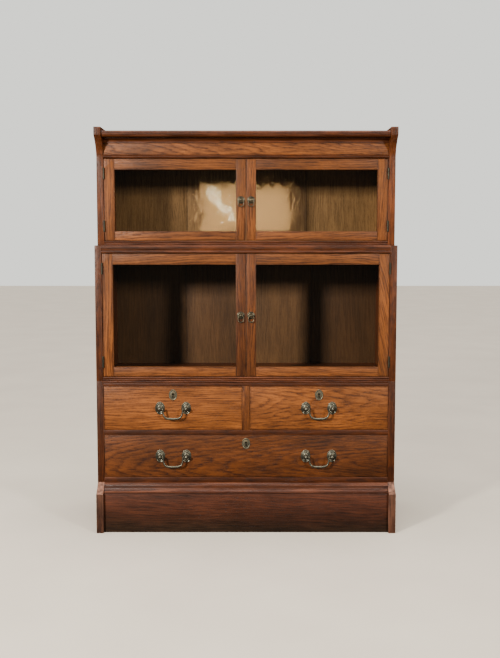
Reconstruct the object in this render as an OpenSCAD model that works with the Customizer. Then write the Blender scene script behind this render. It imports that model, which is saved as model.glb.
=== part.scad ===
// Oak bookcase in four stacked units: a plinth, a case of three drawers, a
// middle case and a shallower upper case, both with a pair of glazed doors.
// Millimetres, +Z up, the front faces -Y. The origin is on the floor, under
// the middle of the overall depth and width.

/* [Cases] */
// Width over the two side boards
case_w = 864; // [680:1:1100]
// Depth of the drawer case and of the middle case
main_d = 318; // [260:1:400]
// How far the upper case stands back behind the middle case
upper_setback = 58; // [40:1:80]
// How far the plinth stands out in front of the drawer case
plinth_step = 36; // [24:1:48]
// Thickness of the side boards
side_t = 20; // [16:0.5:24]
// Depth of the housings that the fixed boards enter
housing_d = 6; // [3:0.5:7]
// Thickness of the back panels
back_t = 6; // [4:0.5:8]

/* [Heights] */
// Height of the plinth
plinth_h = 142; // [110:1:180]
// Height of the moulding on top of the plinth board
plinth_mould_h = 28; // [22:1:36]
// Opening of the long drawer
long_open_h = 125.5; // [90:0.5:160]
// Opening of the short drawers
short_open_h = 128.5; // [90:0.5:160]
// Thickness of the board under the long drawer and of the rail over it
rail_t = 14; // [11:0.5:18]
// Thickness of the top of the drawer case
drawer_top_t = 15; // [12:0.5:20]
// Thickness of the bottom boards of the glazed cases
shelf_t = 12; // [10:0.5:16]
// Door opening of the middle case
middle_open_h = 356; // [280:1:430]
// Thickness of the moulded top of the middle case
middle_top_t = 22; // [18:1:28]
// Door opening of the upper case
upper_open_h = 238; // [180:1:300]
// Thickness of the top of the upper case
upper_top_t = 10; // [9:0.5:14]
// Height of the frieze between that top and the cap
frieze_h = 48; // [40:1:60]
// Thickness of the cap
cap_t = 17; // [14:0.5:22]
// How far the cheeks rise over the cap
ear_rise = 10; // [4:1:16]
// How far the cheeks stand out at the top
ear_step = 46; // [36:1:56]
// Height of the flat face at the top of each cheek
ear_face_h = 23; // [16:1:30]
// Height of the curve under that face
ear_curve_h = 60; // [48:1:72]

/* [Doors] */
// Gap all round a door
door_gap = 1.5; // [1.3:0.1:2]
// Thickness of the doors
door_t = 19; // [16:0.5:23]
// How far the doors and drawers lie behind the edges of the sides
face_recess = 1.5; // [1:0.1:3]
// Width of the stile that carries the hinges
hinge_stile_w = 29.5; // [27:0.5:40]
// Width of the stile where the two doors meet
meeting_stile_w = 28; // [27:1:40]
// Width of the top rail
top_rail_w = 31; // [28:1:42]
// Width of the bottom rail
bottom_rail_w = 27; // [25:1:40]
// Thickness of the wood in front of the glass
lip_t = 8; // [6:0.5:9]
// Width of the rebate for the glass
rebate_w = 6; // [5:0.5:8]
// Thickness of the glass
glass_t = 2.5; // [2:0.5:4]
// Play of the glass in its rebate, each side
glass_play = 0.5; // [0.3:0.1:1]
// Thickness of the tenons
tenon_t = 6; // [5:0.5:7]
// Length of the tenons
tenon_l = 20; // [14:1:22]

/* [Hinges] */
// Length of a butt hinge
hinge_l = 32; // [26:1:38]
// Distance from the end of a door to the middle of its hinge
hinge_inset = 42; // [38:1:70]
// Width of a hinge leaf behind its knuckle
leaf_w = 11; // [9:0.5:11.5]
// Thickness of a hinge leaf
leaf_t = 1.1; // [0.9:0.1:1.3]
// Radius of the knuckle
knuckle_r = 2.8; // [2.5:0.1:3.2]
// Radius of the hinge pin
pin_r = 1.4; // [1.1:0.1:1.6]

/* [Drawers] */
// Gap round a drawer front
drawer_gap = 1; // [0.8:0.1:1.5]
// Thickness of the drawer fronts
front_t = 20; // [18:0.5:24]
// Thickness of the drawer sides and backs
lining_t = 10; // [8:0.5:12]
// Thickness of the drawer bottoms
bottom_t = 6; // [4:0.5:8]
// Depth of the grooves that hold the bottoms
groove_d = 4; // [3:0.5:5]
// Height of a drawer bottom over the lower edge of its sides
bottom_lift = 10; // [8:0.5:14]
// Length of the dovetails
tail_l = 14; // [11:0.5:15]
// Number of dovetails in each corner
tails = 4; // [3:1:5]
// Width of the upright between the two short drawers
muntin_w = 21; // [18:1:26]

/* [Handles] */
// Distance between the posts of a drawer handle
post_pitch = 76; // [64:1:92]
// Radius of the grip of a handle
grip_r = 3; // [2.4:0.1:3.5]
// How far the grip hangs below its posts
bail_drop = 29; // [24:1:36]
// Radius of the ends that turn in the posts
bail_pin_r = 1.6; // [1.2:0.1:2]
// Width of an oval rose
rose_w = 28; // [24:1:32]
// Height of an oval rose
rose_h = 37; // [30:1:42]
// Distance from a drawer front to the middle of a post's ball
post_reach = 17; // [15:0.5:20]
// Distance from the top of a drawer front to its keyhole
key_drop = 22; // [20:0.5:26]
// Radius of the round plate behind a door ring
plate_r = 11; // [9:0.5:12]
// Radius of a door ring at its widest
ring_r = 8.1; // [7:0.1:9]
// Distance from a ring's pin to the middle of its lower curve
ring_drop = 11; // [10:0.1:13]

/* [Hidden] */
$fn = 48;

oak = "saddlebrown";
dark_oak = "sienna";
lining = "tan";
brass = "darkgoldenrod";
pane = "lightcyan";

// Planes across the depth.
y_back = (main_d + plinth_step) / 2;
y_main = y_back - main_d;
y_plinth = -y_back;
y_up = y_main + upper_setback;
y_ear = y_up - ear_step;
y_panel = y_back - back_t;

// Levels.
z_drawers = plinth_h;
z_long = z_drawers + rail_t;
z_rail = z_long + long_open_h;
z_short = z_rail + rail_t;
z_drawer_top = z_short + short_open_h;
z_middle = z_drawer_top + drawer_top_t;
z_middle_open = z_middle + shelf_t;
z_middle_top = z_middle_open + middle_open_h;
z_upper = z_middle_top + middle_top_t;
z_upper_open = z_upper + shelf_t;
z_upper_top = z_upper_open + upper_open_h;
z_frieze = z_upper_top + upper_top_t;
z_cap = z_frieze + frieze_h;
z_cap_top = z_cap + cap_t;
z_top = z_cap_top + ear_rise;

inner_w = case_w - 2 * side_t;
x_in = inner_w / 2;
x_dowel = x_in + (side_t + housing_d) / 2;
eps = 1;          // how far a cutter passes the face that it opens
arc_n = 8;        // flats in a quarter or half round of a moulding
tongue_stop = 10; // bare wood in front of a stopped housing
panel_lap = 8;    // how far a back panel lies over the edge of a side
panel_gap = 0.4;  // bare strip at the top and bottom of each panel

// ---------- outlines ----------

// Points of an elliptical arc in the Y-Z plane.
function arc(y, z, ry, rz, a0, a1) =
  [for (i = [0:arc_n]) let (a = a0 + (a1 - a0) * i / arc_n)
    [y + ry * cos(a), z + rz * sin(a)]];

// A rounded front edge from height z up to z + h, deepest at its middle.
function nosing(y, z, h, bulge) =
  [for (i = [0:arc_n]) let (a = -90 + 180 * i / arc_n)
    [y + bulge * (1 - cos(a)), z + h / 2 * (1 + sin(a))]];

// Two beads, one over the other, with a quirk between them.
function two_beads(y, z, h, split, quirk) = concat(
  nosing(y, z, split - quirk / 2, bead_bulge),
  nosing(y, z + split + quirk / 2, h - split - quirk / 2, bead_bulge));
bead_bulge = 2.5;
quirk_w = 1;

function ellipse(w, h) =
  [for (i = [0:31]) let (a = i * 360 / 32) [w / 2 * cos(a), h / 2 * sin(a)]];

// Extrudes a Y-Z outline along X, from x0 to x1.
module along_x(x0, x1) translate([x0, 0, 0]) rotate([90, 0, 90])
  linear_extrude(x1 - x0) children();

// Extrudes an X-Z outline along Y, from y0 to y1.
module along_y(y0, y1) translate([0, y1, 0]) rotate([90, 0, 0])
  linear_extrude(y1 - y0) children();

module box(x0, x1, y0, y1, z0, z1) translate([x0, y0, z0])
  cube([x1 - x0, y1 - y0, z1 - z0]);

// A rod along X, or along Y, from a to b.
module rod_x(r, a, b) translate([a, 0, 0]) rotate([0, 90, 0])
  cylinder(r = r, h = b - a);
module rod_y(r, a, b) translate([0, a, 0]) rotate([-90, 0, 0])
  cylinder(r = r, h = b - a);

module right_hand() mirror([1, 0, 0]) children();

// ---------- fixed boards and their housings ----------

// The part of a board that enters both sides, in stopped housings.
module tongues(y0, y1, z, t) box(-x_in - housing_d, x_in + housing_d,
  y0 + tongue_stop, y1, z, z + t);

// A board with a moulded front edge, housed in both sides.
module fixed_board(outline, y0, y1, z, t) {
  along_x(-x_in, x_in) polygon(outline);
  tongues(y0, y1, z, t);
}

// Where each fixed board lies: its front, its back, its height, its thickness.
DRAWER_BOTTOM = [y_main, y_panel, z_drawers, rail_t];
DRAWER_TOP = [y_main, y_panel, z_drawer_top, drawer_top_t];
MIDDLE_BOTTOM = [y_main, y_panel, z_middle, shelf_t];
MIDDLE_TOP = [y_main, y_panel, z_middle_top, middle_top_t];
UPPER_BOTTOM = [y_up, y_panel, z_upper, shelf_t];
UPPER_TOP = [y_up, y_panel, z_upper_top, upper_top_t];

module housed(b) tongues(b[0], b[1], b[2], b[3]);

// ---------- dowels between the units ----------

dowel_r = 3;
dowel_half = 10;
dowel_front = 34;
dowel_back = 40;

module dowel_pair(y_front, z) for (y = [y_front + dowel_front,
  y_back - dowel_back]) translate([-x_dowel, y, z - dowel_half])
  cylinder(r = dowel_r, h = 2 * dowel_half);

module left_dowels() {
  dowel_pair(y_main, z_drawers);
  dowel_pair(y_main, z_middle);
  dowel_pair(y_up, z_upper);
}

module locating_dowels() color(lining) {
  left_dowels();
  right_hand() left_dowels();
}

// ---------- plinth ----------

knee_n = 10;
knee_power = 1.3;     // how late the knee runs out
board_set = 10;      // plinth board behind the front of the cheeks
board_t = 19;
ledge = 2;           // of the board, in front of the moulding
y_board = y_plinth + board_set;
z_board = plinth_h - plinth_mould_h;
fillet_h = 3;
bearer_w = 25;
bearer_h = 30;

// The front edge of a cheek runs out from the case to the plinth in a knee.
function knee() = [for (i = [0:knee_n]) let (t = i / knee_n)
  [y_main - plinth_step * pow(t, knee_power), plinth_h - plinth_mould_h * t]];

module plinth_board_shape() box(-x_in - housing_d, x_in + housing_d,
  y_board, y_board + board_t, 0, z_board);

module plinth_back_shape() box(-x_in - housing_d, x_in + housing_d,
  y_back - 2 * board_t, y_back - board_t, 0, plinth_h);

module plinth_cheek() color(dark_oak) difference() {
  along_x(-x_in - side_t, -x_in) polygon(concat(
    [[y_back, plinth_h]], knee(), [[y_plinth, 0], [y_back, 0]]));
  plinth_board_shape();
  plinth_back_shape();
  left_dowels();
}

module plinth_board() color(dark_oak) plinth_board_shape();

// Convex over concave, between the cheeks.
mould_top = 2;
round_rise = 0.4;     // share of the height that is convex
round_run = 0.45;     // share of the depth that is convex
mould_lap = 10;       // of the moulding, under the drawer case
y_mould = y_board + ledge;
mould_run = y_main - mould_top - y_mould;
module plinth_moulding() color(dark_oak) along_x(-x_in, x_in) polygon(concat(
  [[y_main + mould_lap, plinth_h]],
  arc(y_main - mould_top, plinth_h - plinth_mould_h * round_rise,
    -mould_run * round_run, plinth_mould_h * round_rise, 90, 0),
  arc(y_mould, plinth_h - plinth_mould_h * round_rise,
    mould_run * (1 - round_run),
    -plinth_mould_h * (1 - round_rise) + fillet_h, 0, 90),
  [[y_mould, z_board], [y_main + mould_lap, z_board]]));

// A bearer along each cheek, the back rail, and a glue block in each corner.
block_w = 22;
module plinth_blocks() {
  box(-x_in, -x_in + bearer_w, y_board + board_t + block_w,
    y_back - 2 * board_t, plinth_h - bearer_h, plinth_h);
  translate([-x_in, y_board + board_t, 0]) linear_extrude(z_board)
    polygon([[0, 0], [block_w, 0], [0, block_w]]);
  translate([-x_in, y_back - 2 * board_t, 0])
    linear_extrude(plinth_h - bearer_h)
    polygon([[0, 0], [block_w, 0], [0, -block_w]]);
}

module plinth_frame() color(lining) {
  plinth_back_shape();
  plinth_blocks();
  right_hand() plinth_blocks();
}

// ---------- drawer case ----------

rail_d = 60;
runner_w = 40;
y_runner = y_main + rail_d;
guide_h = 12;
stop_w = 30;
stop_h = 5;
stop_l = 12;
stop_from_middle = 90;
y_face = y_main + face_recess;
y_stop = y_face + front_t;
muntin_pin = 5;
bolt_hole_h = 8;      // depth of a lock mortise in the rail over it

module divider_rail_shape() {
  box(-x_in, x_in, y_main, y_runner, z_rail, z_short);
  box(-x_in - housing_d, x_in + housing_d, y_main + tongue_stop,
    y_runner, z_rail, z_short);
}

module muntin_shape() {
  box(-muntin_w / 2, muntin_w / 2, y_main, y_runner, z_short, z_drawer_top);
  for (z = [z_short - muntin_pin, z_drawer_top]) box(-muntin_w / 2,
    muntin_w / 2, y_main + tongue_stop, y_runner - tongue_stop,
    z, z + muntin_pin);
}

module side_runner_shape() box(-x_in - housing_d, -x_in + runner_w,
  y_runner, y_panel, z_rail, z_short);

module drawer_case_side() color(oak) difference() {
  box(-x_in - side_t, -x_in, y_main, y_back, z_drawers, z_middle);
  housed(DRAWER_BOTTOM);
  housed(DRAWER_TOP);
  divider_rail_shape();
  side_runner_shape();
  panel_cut(z_drawers, z_middle);
  left_dowels();
}

// The front edge of the top carries a bead along its upper corner.
top_bead = 5;
module drawer_case_top() color(oak) difference() {
  fixed_board(concat([[y_panel, z_middle], [y_panel, z_drawer_top],
    [y_main + quirk_w, z_drawer_top],
    [y_main + quirk_w, z_middle - top_bead - quirk_w],
    [y_main + bead_bulge, z_middle - top_bead - quirk_w]],
    nosing(y_main, z_middle - top_bead, top_bead, bead_bulge)),
    y_main, y_panel, z_drawer_top, drawer_top_t);
  muntin_shape();
  for (x = [-short_x, short_x]) lock_mortise(x, z_drawer_top);
}

module drawer_case_bottom() color(oak)
  fixed_board([[y_main, z_drawers], [y_panel, z_drawers],
    [y_panel, z_long], [y_main, z_long]], y_main, y_panel, z_drawers, rail_t);

module drawer_dividers() color(oak) {
  difference() {
    divider_rail_shape();
    muntin_shape();
    lock_mortise(0, z_rail);
  }
  muntin_shape();
}

module drawer_stop(x, z) box(x - stop_w / 2, x + stop_w / 2,
  y_stop, y_stop + stop_l, z, z + stop_h);

// Runners, the guide between the short drawers, and the drawer stops.
module drawer_runners() color(lining) {
  side_runner_shape();
  right_hand() side_runner_shape();
  box(-runner_w, runner_w, y_runner, y_panel, z_rail, z_short);
  box(-muntin_w / 2, muntin_w / 2, y_runner, y_panel,
    z_short, z_short + guide_h);
  for (x = [-short_x, short_x], s = [-1, 1])
    drawer_stop(x + s * stop_from_middle, z_short);
  for (x = [-short_x, short_x]) drawer_stop(x, z_long);
}

// ---------- middle case ----------

// The rebate at the back of a side, which its panel fills.
module panel_cut(z0, z1) box(-x_in - panel_lap, -x_in + eps,
  y_panel, y_back + eps, z0 - eps, z1 + eps);

module panel(z0, z1) box(-x_in - panel_lap, x_in + panel_lap,
  y_panel, y_back, z0 + panel_gap, z1 - panel_gap);

module back_panels() color(dark_oak) {
  panel(z_drawers, z_middle);
  panel(z_middle, z_upper);
  panel(z_upper, z_cap);
}

module middle_case_side() color(oak) difference() {
  box(-x_in - side_t, -x_in, y_main, y_back, z_middle, z_upper);
  housed(MIDDLE_BOTTOM);
  housed(MIDDLE_TOP);
  panel_cut(z_middle, z_upper);
  left_dowels();
  hinge_cuts_in_side(y_main, z_middle_open, middle_open_h);
}

shelf_split = shelf_t / 2;
function shelf_outline(y, z) = concat([[y_panel, z + shelf_t], [y_panel, z]],
  two_beads(y, z, shelf_t, shelf_split, quirk_w));

module middle_case_bottom() color(oak) fixed_board(
  shelf_outline(y_main, z_middle), y_main, y_panel, z_middle, shelf_t);

middle_bead = 8;
module middle_case_top() color(oak) {
  difference() {
    fixed_board(concat([[y_panel, z_upper], [y_panel, z_middle_top]],
      two_beads(y_main, z_middle_top, middle_top_t, middle_bead,
        2 * quirk_w)), y_main, y_panel, z_middle_top, middle_top_t);
    bolt_hole(y_main + face_recess, z_middle_top);
  }
  door_stops(y_main + face_recess, z_middle_top);
}

// ---------- upper case and cornice ----------

curve_n = 12;
sweep_power = 2;      // how early the ear sweeps back
cap_set = 6;          // cap behind the flat faces of the cheeks
y_cap = y_ear + cap_set;
cap_bulge = 6;
cap_shoulder = 4;     // of the cap over its tongues
bed_h = 15;
bed_run = 20;
bed_foot = 4;
frieze_t = 19;
y_frieze = y_up + face_recess;

// Under its flat face the front edge of a cheek sweeps back to the case.
function ear() = [for (i = [0:curve_n]) let (t = i / curve_n)
  [y_up - ear_step * pow(1 - t, sweep_power), z_top - ear_face_h - ear_curve_h * t]];

module cap_tongues() box(-x_in - housing_d, x_in + housing_d,
  y_cap + tongue_stop, y_back, z_cap, z_cap_top - cap_shoulder);

module frieze_shape() {
  box(-x_in, x_in, y_frieze, y_frieze + frieze_t, z_frieze, z_cap);
  box(-x_in - housing_d, x_in + housing_d, y_frieze + frieze_t / 3,
    y_frieze + frieze_t, z_frieze, z_cap);
}

module upper_cheek() color(oak) difference() {
  along_x(-x_in - side_t, -x_in) polygon(concat(
    [[y_back, z_top], [y_ear, z_top]], ear(),
    [[y_up, z_upper], [y_back, z_upper]]));
  housed(UPPER_BOTTOM);
  housed(UPPER_TOP);
  cap_tongues();
  frieze_shape();
  panel_cut(z_upper, z_cap);
  left_dowels();
  hinge_cuts_in_side(y_up, z_upper_open, upper_open_h);
}

module upper_case_bottom() color(oak) fixed_board(
  shelf_outline(y_up, z_upper), y_up, y_panel, z_upper, shelf_t);

// Its front edge is the bead between the doors and the frieze.
module upper_case_top() color(oak) {
  difference() {
    fixed_board(concat([[y_panel, z_frieze], [y_panel, z_upper_top],
      [y_up + bead_bulge, z_upper_top]],
      nosing(y_up - bead_bulge, z_upper_top + quirk_w,
        upper_top_t - 2 * quirk_w, bead_bulge),
      [[y_up + bead_bulge, z_frieze]]),
      y_up, y_panel, z_upper_top, upper_top_t);
    bolt_hole(y_up + face_recess, z_upper_top);
  }
  door_stops(y_up + face_recess, z_upper_top);
}

module cornice_cap() color(oak) {
  along_x(-x_in, x_in) polygon(concat(
    [[y_back, z_cap_top], [y_back, z_cap]],
    nosing(y_cap, z_cap, cap_t, cap_bulge)));
  cap_tongues();
}

// The frieze board, and the cove under the cap.
module frieze() color(oak) {
  frieze_shape();
  along_x(-x_in, x_in) polygon(concat(
    [[y_frieze, z_cap], [y_frieze, z_cap - bed_h],
      [y_frieze - bed_foot, z_cap - bed_h]],
    arc(y_frieze - bed_run, z_cap - bed_h + fillet_h, bed_run - bed_foot,
      bed_h - 2 * fillet_h, 0, 90),
    [[y_frieze - bed_run, z_cap]]));
}

// ---------- doors ----------

door_w = (inner_w - 3 * door_gap) / 2;
door_x0 = -x_in + door_gap;
door_x1 = door_x0 + door_w;
pull_x = door_x1 - meeting_stile_w / 2;
spindle_r = 3;
spindle_play = 0.08;
stop_block = 40;
stop_block_t = 10;
stop_block_h = 12;
stop_from = 60;

// Each glazed case: the height of its opening and where its front lies.
MIDDLE = [z_middle_open, middle_open_h, y_main];
UPPER = [z_upper_open, upper_open_h, y_up];

function door_z(c) = c[0] + door_gap;
function door_h(c) = c[1] - 2 * door_gap;
function door_y(c) = c[2] + face_recess;
function door_mid(c) = c[0] + c[1] / 2;

module door_stops(y, z) for (x = [-stop_from, stop_from])
  box(x - stop_block / 2, x + stop_block / 2, y + door_t,
    y + door_t + stop_block_t, z - stop_block_h, z);

// The hollow that the glass and its beads lie in.
module rebate(c) box(door_x0 + hinge_stile_w - rebate_w,
  door_x1 - meeting_stile_w + rebate_w, door_y(c) + lip_t,
  door_y(c) + door_t + eps, door_z(c) + bottom_rail_w - rebate_w,
  door_z(c) + door_h(c) - top_rail_w + rebate_w);

tenon_shoulder = 5;
tenon_clear = 2;
tenon_y = 6.5;

// A rail with a tenon at each end. Its outer edge is at z_out.
module rail_shape(c, z0, z1) {
  box(door_x0 + hinge_stile_w, door_x1 - meeting_stile_w,
    door_y(c), door_y(c) + door_t, z0, z1);
}
module rail_tenons(c, z0, z1) box(door_x0 + hinge_stile_w - tenon_l,
  door_x1 - meeting_stile_w + tenon_l, door_y(c) + tenon_y,
  door_y(c) + tenon_y + tenon_t, z0, z1);

module top_tenons(c) rail_tenons(c,
  door_z(c) + door_h(c) - top_rail_w + rebate_w + tenon_clear,
  door_z(c) + door_h(c) - tenon_shoulder);
module bottom_tenons(c) rail_tenons(c, door_z(c) + tenon_shoulder,
  door_z(c) + bottom_rail_w - rebate_w - tenon_clear);

module door_rails(c) difference() {
  union() {
    rail_shape(c, door_z(c) + door_h(c) - top_rail_w,
      door_z(c) + door_h(c));
    rail_shape(c, door_z(c), door_z(c) + bottom_rail_w);
    top_tenons(c);
    bottom_tenons(c);
  }
  rebate(c);
}

module door_stiles(c) difference() {
  union() {
    box(door_x0, door_x0 + hinge_stile_w, door_y(c), door_y(c) + door_t,
      door_z(c), door_z(c) + door_h(c));
    box(door_x1 - meeting_stile_w, door_x1, door_y(c), door_y(c) + door_t,
      door_z(c), door_z(c) + door_h(c));
  }
  rebate(c);
  top_tenons(c);
  bottom_tenons(c);
  hinge_cuts_in_door(c);
  translate([pull_x, 0, door_mid(c)])
    rod_y(spindle_r + spindle_play, door_y(c) - eps, door_y(c) + door_t + eps);
}

// One mitred strip of the frame of beads that holds the glass.
module bead_strip(x0, x1, z0, z1, side) {
  b = rebate_w;
  outline = side == 0 ? [[x0, z0], [x1, z0], [x1 - b, z0 + b], [x0 + b, z0 + b]]
    : side == 1 ? [[x0, z1], [x0 + b, z1 - b], [x1 - b, z1 - b], [x1, z1]]
    : side == 2 ? [[x0, z0], [x0 + b, z0 + b], [x0 + b, z1 - b], [x0, z1]]
    : [[x1, z0], [x1, z1], [x1 - b, z1 - b], [x1 - b, z0 + b]];
  polygon(outline);
}

module door_beads(c) for (side = [0:3])
  along_y(door_y(c) + lip_t + glass_t, door_y(c) + door_t)
    bead_strip(door_x0 + hinge_stile_w - rebate_w,
      door_x1 - meeting_stile_w + rebate_w,
      door_z(c) + bottom_rail_w - rebate_w,
      door_z(c) + door_h(c) - top_rail_w + rebate_w, side);

module door_frame(c) color(oak) {
  door_stiles(c);
  door_rails(c);
  door_beads(c);
}

module door_glass(c) color(pane, 0.3) box(
  door_x0 + hinge_stile_w - rebate_w + glass_play,
  door_x1 - meeting_stile_w + rebate_w - glass_play,
  door_y(c) + lip_t, door_y(c) + lip_t + glass_t,
  door_z(c) + bottom_rail_w - rebate_w + glass_play,
  door_z(c) + door_h(c) - top_rail_w + rebate_w - glass_play);

// ---------- butt hinges ----------

pin_play = 0.05;
leaf_gap = 0.1;
axis_front = 1;       // hinge axis in front of the edge of the side
knuckle_clear = 0.3;
hinge_x = -x_in + door_gap / 2;
knuckle_third = hinge_l / 3;
screw_r = 1.1;
screw_head_r = 2.2;
screw_l = 9;
screw_pitch = hinge_l / 3;

function hinge_y(c) = c[2] - axis_front;
function hinge_heights(c) = [door_z(c) + hinge_inset,
  door_z(c) + door_h(c) - hinge_inset];

module at_hinges(c) for (z = hinge_heights(c))
  translate([hinge_x, hinge_y(c), z]) children();

// Clearance round the knuckles, in the door and in the side.
module knuckle_room() translate([0, 0, -hinge_l / 2 - knuckle_clear])
  cylinder(r = knuckle_r + knuckle_clear, h = hinge_l + 2 * knuckle_clear);

module screw_row() for (z = [-screw_pitch, 0, screw_pitch])
  translate([0, knuckle_r + 2 * leaf_gap + leaf_w / 2, z]) children();

module screw() {
  translate([leaf_gap / 2, 0, 0]) rotate([0, 90, 0])
    cylinder(r1 = screw_head_r, r2 = screw_r, h = leaf_t);
  rod_x(screw_r, leaf_gap / 2 + leaf_t, leaf_gap / 2 + leaf_t + screw_l);
}

module leaf_room() box(0, leaf_gap / 2 + leaf_t,
  0, knuckle_r + 2 * leaf_gap + leaf_w, -hinge_l / 2, hinge_l / 2);

module hinge_cuts_in_door(c) at_hinges(c) {
  knuckle_room();
  leaf_room();
  screw_row() screw();
}

module hinge_cuts_in_side(y, z, h) at_hinges([z, h, y]) {
  knuckle_room();
  right_hand() leaf_room();
  right_hand() screw_row() screw();
}

// A leaf with the knuckles listed as [from, to] along the pin.
module leaf(knuckles, bore) difference() {
  union() {
    box(leaf_gap / 2, leaf_gap / 2 + leaf_t, knuckle_r + 2 * leaf_gap,
      knuckle_r + 2 * leaf_gap + leaf_w, -hinge_l / 2, hinge_l / 2);
    for (k = knuckles) {
      box(leaf_gap / 2, leaf_gap / 2 + leaf_t, 0,
        knuckle_r + 2 * leaf_gap, k[0], k[1]);
      translate([0, 0, k[0]]) cylinder(r = knuckle_r, h = k[1] - k[0]);
    }
  }
  translate([0, 0, -hinge_l]) cylinder(r = bore, h = 2 * hinge_l);
  screw_row() screw();
}

module door_leaves(c) at_hinges(c) {
  leaf([[-knuckle_third / 2 + leaf_gap, knuckle_third / 2 - leaf_gap]],
    pin_r + pin_play);
  screw_row() screw();
}

module side_leaves(c) at_hinges(c) {
  right_hand() leaf([[-hinge_l / 2, -knuckle_third / 2],
    [knuckle_third / 2, hinge_l / 2]], pin_r);
  right_hand() screw_row() screw();
  translate([0, 0, -hinge_l / 2]) cylinder(r = pin_r, h = hinge_l);
}

module case_hinges() color(brass) for (c = [MIDDLE, UPPER]) {
  side_leaves(c);
  right_hand() side_leaves(c);
}

// ---------- ring pulls, bolts and catches ----------

plate_t = 1.8;
post_r = 3.5;
ring_wire = 1.3;
ring_pin_r = 1.2;
ring_pin_play = 0.08;
ring_y = 6.5;         // ring's pin in front of the door
post_tip = 9.5;
washer_r = 6;
washer_t = 2;
cam_w = 9;
cam_l = 22;
cam_t = 2.5;
cam_gap = 0.8;

module at_pull(c) translate([pull_x, door_y(c), door_mid(c)]) children();

module pull_plate(bore) difference() {
  rod_y(plate_r, -plate_t, 0);
  rod_y(bore, -plate_t - eps, eps);
}

// A post with a cross bore for the ring's pin, on a shank through the stile.
module pull_post(shank_end) difference() {
  union() {
    rod_y(post_r, -post_tip, -plate_t);
    rod_y(spindle_r, -plate_t, shank_end);
  }
  translate([0, -ring_y, 0])
    rod_x(ring_pin_r + ring_pin_play, -post_r - eps, post_r + eps);
}

// Left doors: the post is fast, held by a washer inside.
module fixed_pull(c) at_pull(c) {
  pull_plate(spindle_r);
  pull_post(door_t + washer_t);
  rod_y(washer_r, door_t, door_t + washer_t);
}

// Right doors: the post turns and carries a cam behind the stile.
module catch(c) color(brass) at_pull(c) {
  pull_post(door_t + cam_gap + cam_t);
  rod_y(washer_r, door_t + cam_gap, door_t + cam_gap + cam_t);
  box(-cam_w / 2, cam_w / 2, door_t + cam_gap,
    door_t + cam_gap + cam_t, -cam_l, 0);
}

ring_top_x = post_r + ring_wire + ring_pin_play;
ring_node = 1.5;
module ring(c) color(brass) at_pull(c) translate([0, -ring_y, 0]) {
  lean = atan((ring_r - ring_top_x) / ring_drop);
  run = ring_drop / cos(lean);
  rod_x(ring_pin_r, -ring_top_x, ring_top_x);
  for (s = [-1, 1]) {
    translate([s * ring_top_x, 0, 0]) sphere(r = ring_node);
    translate([s * ring_top_x, 0, 0]) rotate([0, 180 - s * lean, 0])
      cylinder(r = ring_wire, h = run);
    translate([s * ring_r, 0, -ring_drop]) sphere(r = ring_node);
  }
  translate([0, 0, -ring_drop]) rotate([-90, 0, 0])
    rotate_extrude(angle = 180) translate([ring_r, 0]) circle(r = ring_wire);
}

// A small bolt on the back of each left door shoots into the board over it.
bolt_r = 2;
bolt_play = 0.1;
bolt_l = 42;
bolt_down = 1;
bolt_travel = 8;
bolt_x = door_x1 - (meeting_stile_w - rebate_w) / 2;
bolt_y = 4.4;
bolt_plate_t = 1.2;
bolt_plate_w = 12;
strap_w = 5;
strap_r = 3.6;
knob_r = 1.6;
knob_l = 5;
STRAP_DROPS = [8, 32];

module bolt_hole(y, z) translate([bolt_x, y + door_t + bolt_y, z - eps])
  cylinder(r = bolt_r + 2 * bolt_play, h = bolt_travel + eps);

module at_bolt(c) translate([bolt_x, door_y(c) + door_t,
  door_z(c) + door_h(c)]) children();

module bolt_plate(c) at_bolt(c) difference() {
  union() {
    box(-bolt_plate_w / 2, bolt_plate_w / 2, 0, bolt_plate_t,
      -bolt_l, -strap_w);
    for (d = STRAP_DROPS) translate([0, bolt_y, -d - strap_w])
      cylinder(r = strap_r, h = strap_w);
    for (d = STRAP_DROPS) box(-strap_r, strap_r, bolt_plate_t / 2,
      bolt_y, -d - strap_w, -d);
  }
  translate([0, bolt_y, -2 * bolt_l])
    cylinder(r = bolt_r + bolt_play, h = 3 * bolt_l);
}

module door_bolt(c) color(brass) at_bolt(c) translate([0, bolt_y, 0]) {
  translate([0, 0, -bolt_down - bolt_l]) cylinder(r = bolt_r, h = bolt_l);
  translate([0, 0, -(STRAP_DROPS[0] + strap_w + STRAP_DROPS[1]) / 2])
    rod_y(knob_r, 0, knob_l);
}

module left_brassware(c) color(brass) {
  door_leaves(c);
  fixed_pull(c);
  bolt_plate(c);
}

module right_brassware(c) color(brass) {
  door_leaves(c);
  at_pull(c) pull_plate(spindle_r + spindle_play);
}

// ---------- drawers ----------

side_gap = 0.3;       // drawer sides over their runners
rear_room = 21;
y_box_end = y_panel - rear_room;
tail_narrow = 3;
tail_gap = 2;         // wood between two tails at their widest
back_inset = 6;
back_dado = 4;
side_drop = 5;        // sides below the top of the front
short_x = (x_in + muntin_w / 2) / 2;
short_w = x_in - muntin_w / 2 - 2 * drawer_gap;
long_w = inner_w - 2 * drawer_gap;

// A drawer: its middle, width, runner height and opening height.
LEFT = [-short_x, short_w, z_short, short_open_h];
RIGHT = [short_x, short_w, z_short, short_open_h];
LONG = [0, long_w, z_long, long_open_h];

function front_z0(d) = d[2] + drawer_gap;
function front_z1(d) = d[2] + d[3] - drawer_gap;
function box_z0(d) = d[2] + side_gap;
function box_z1(d) = front_z1(d) - side_drop;
function tail_pitch(d) = (box_z1(d) - front_z0(d)) / tails;

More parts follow.
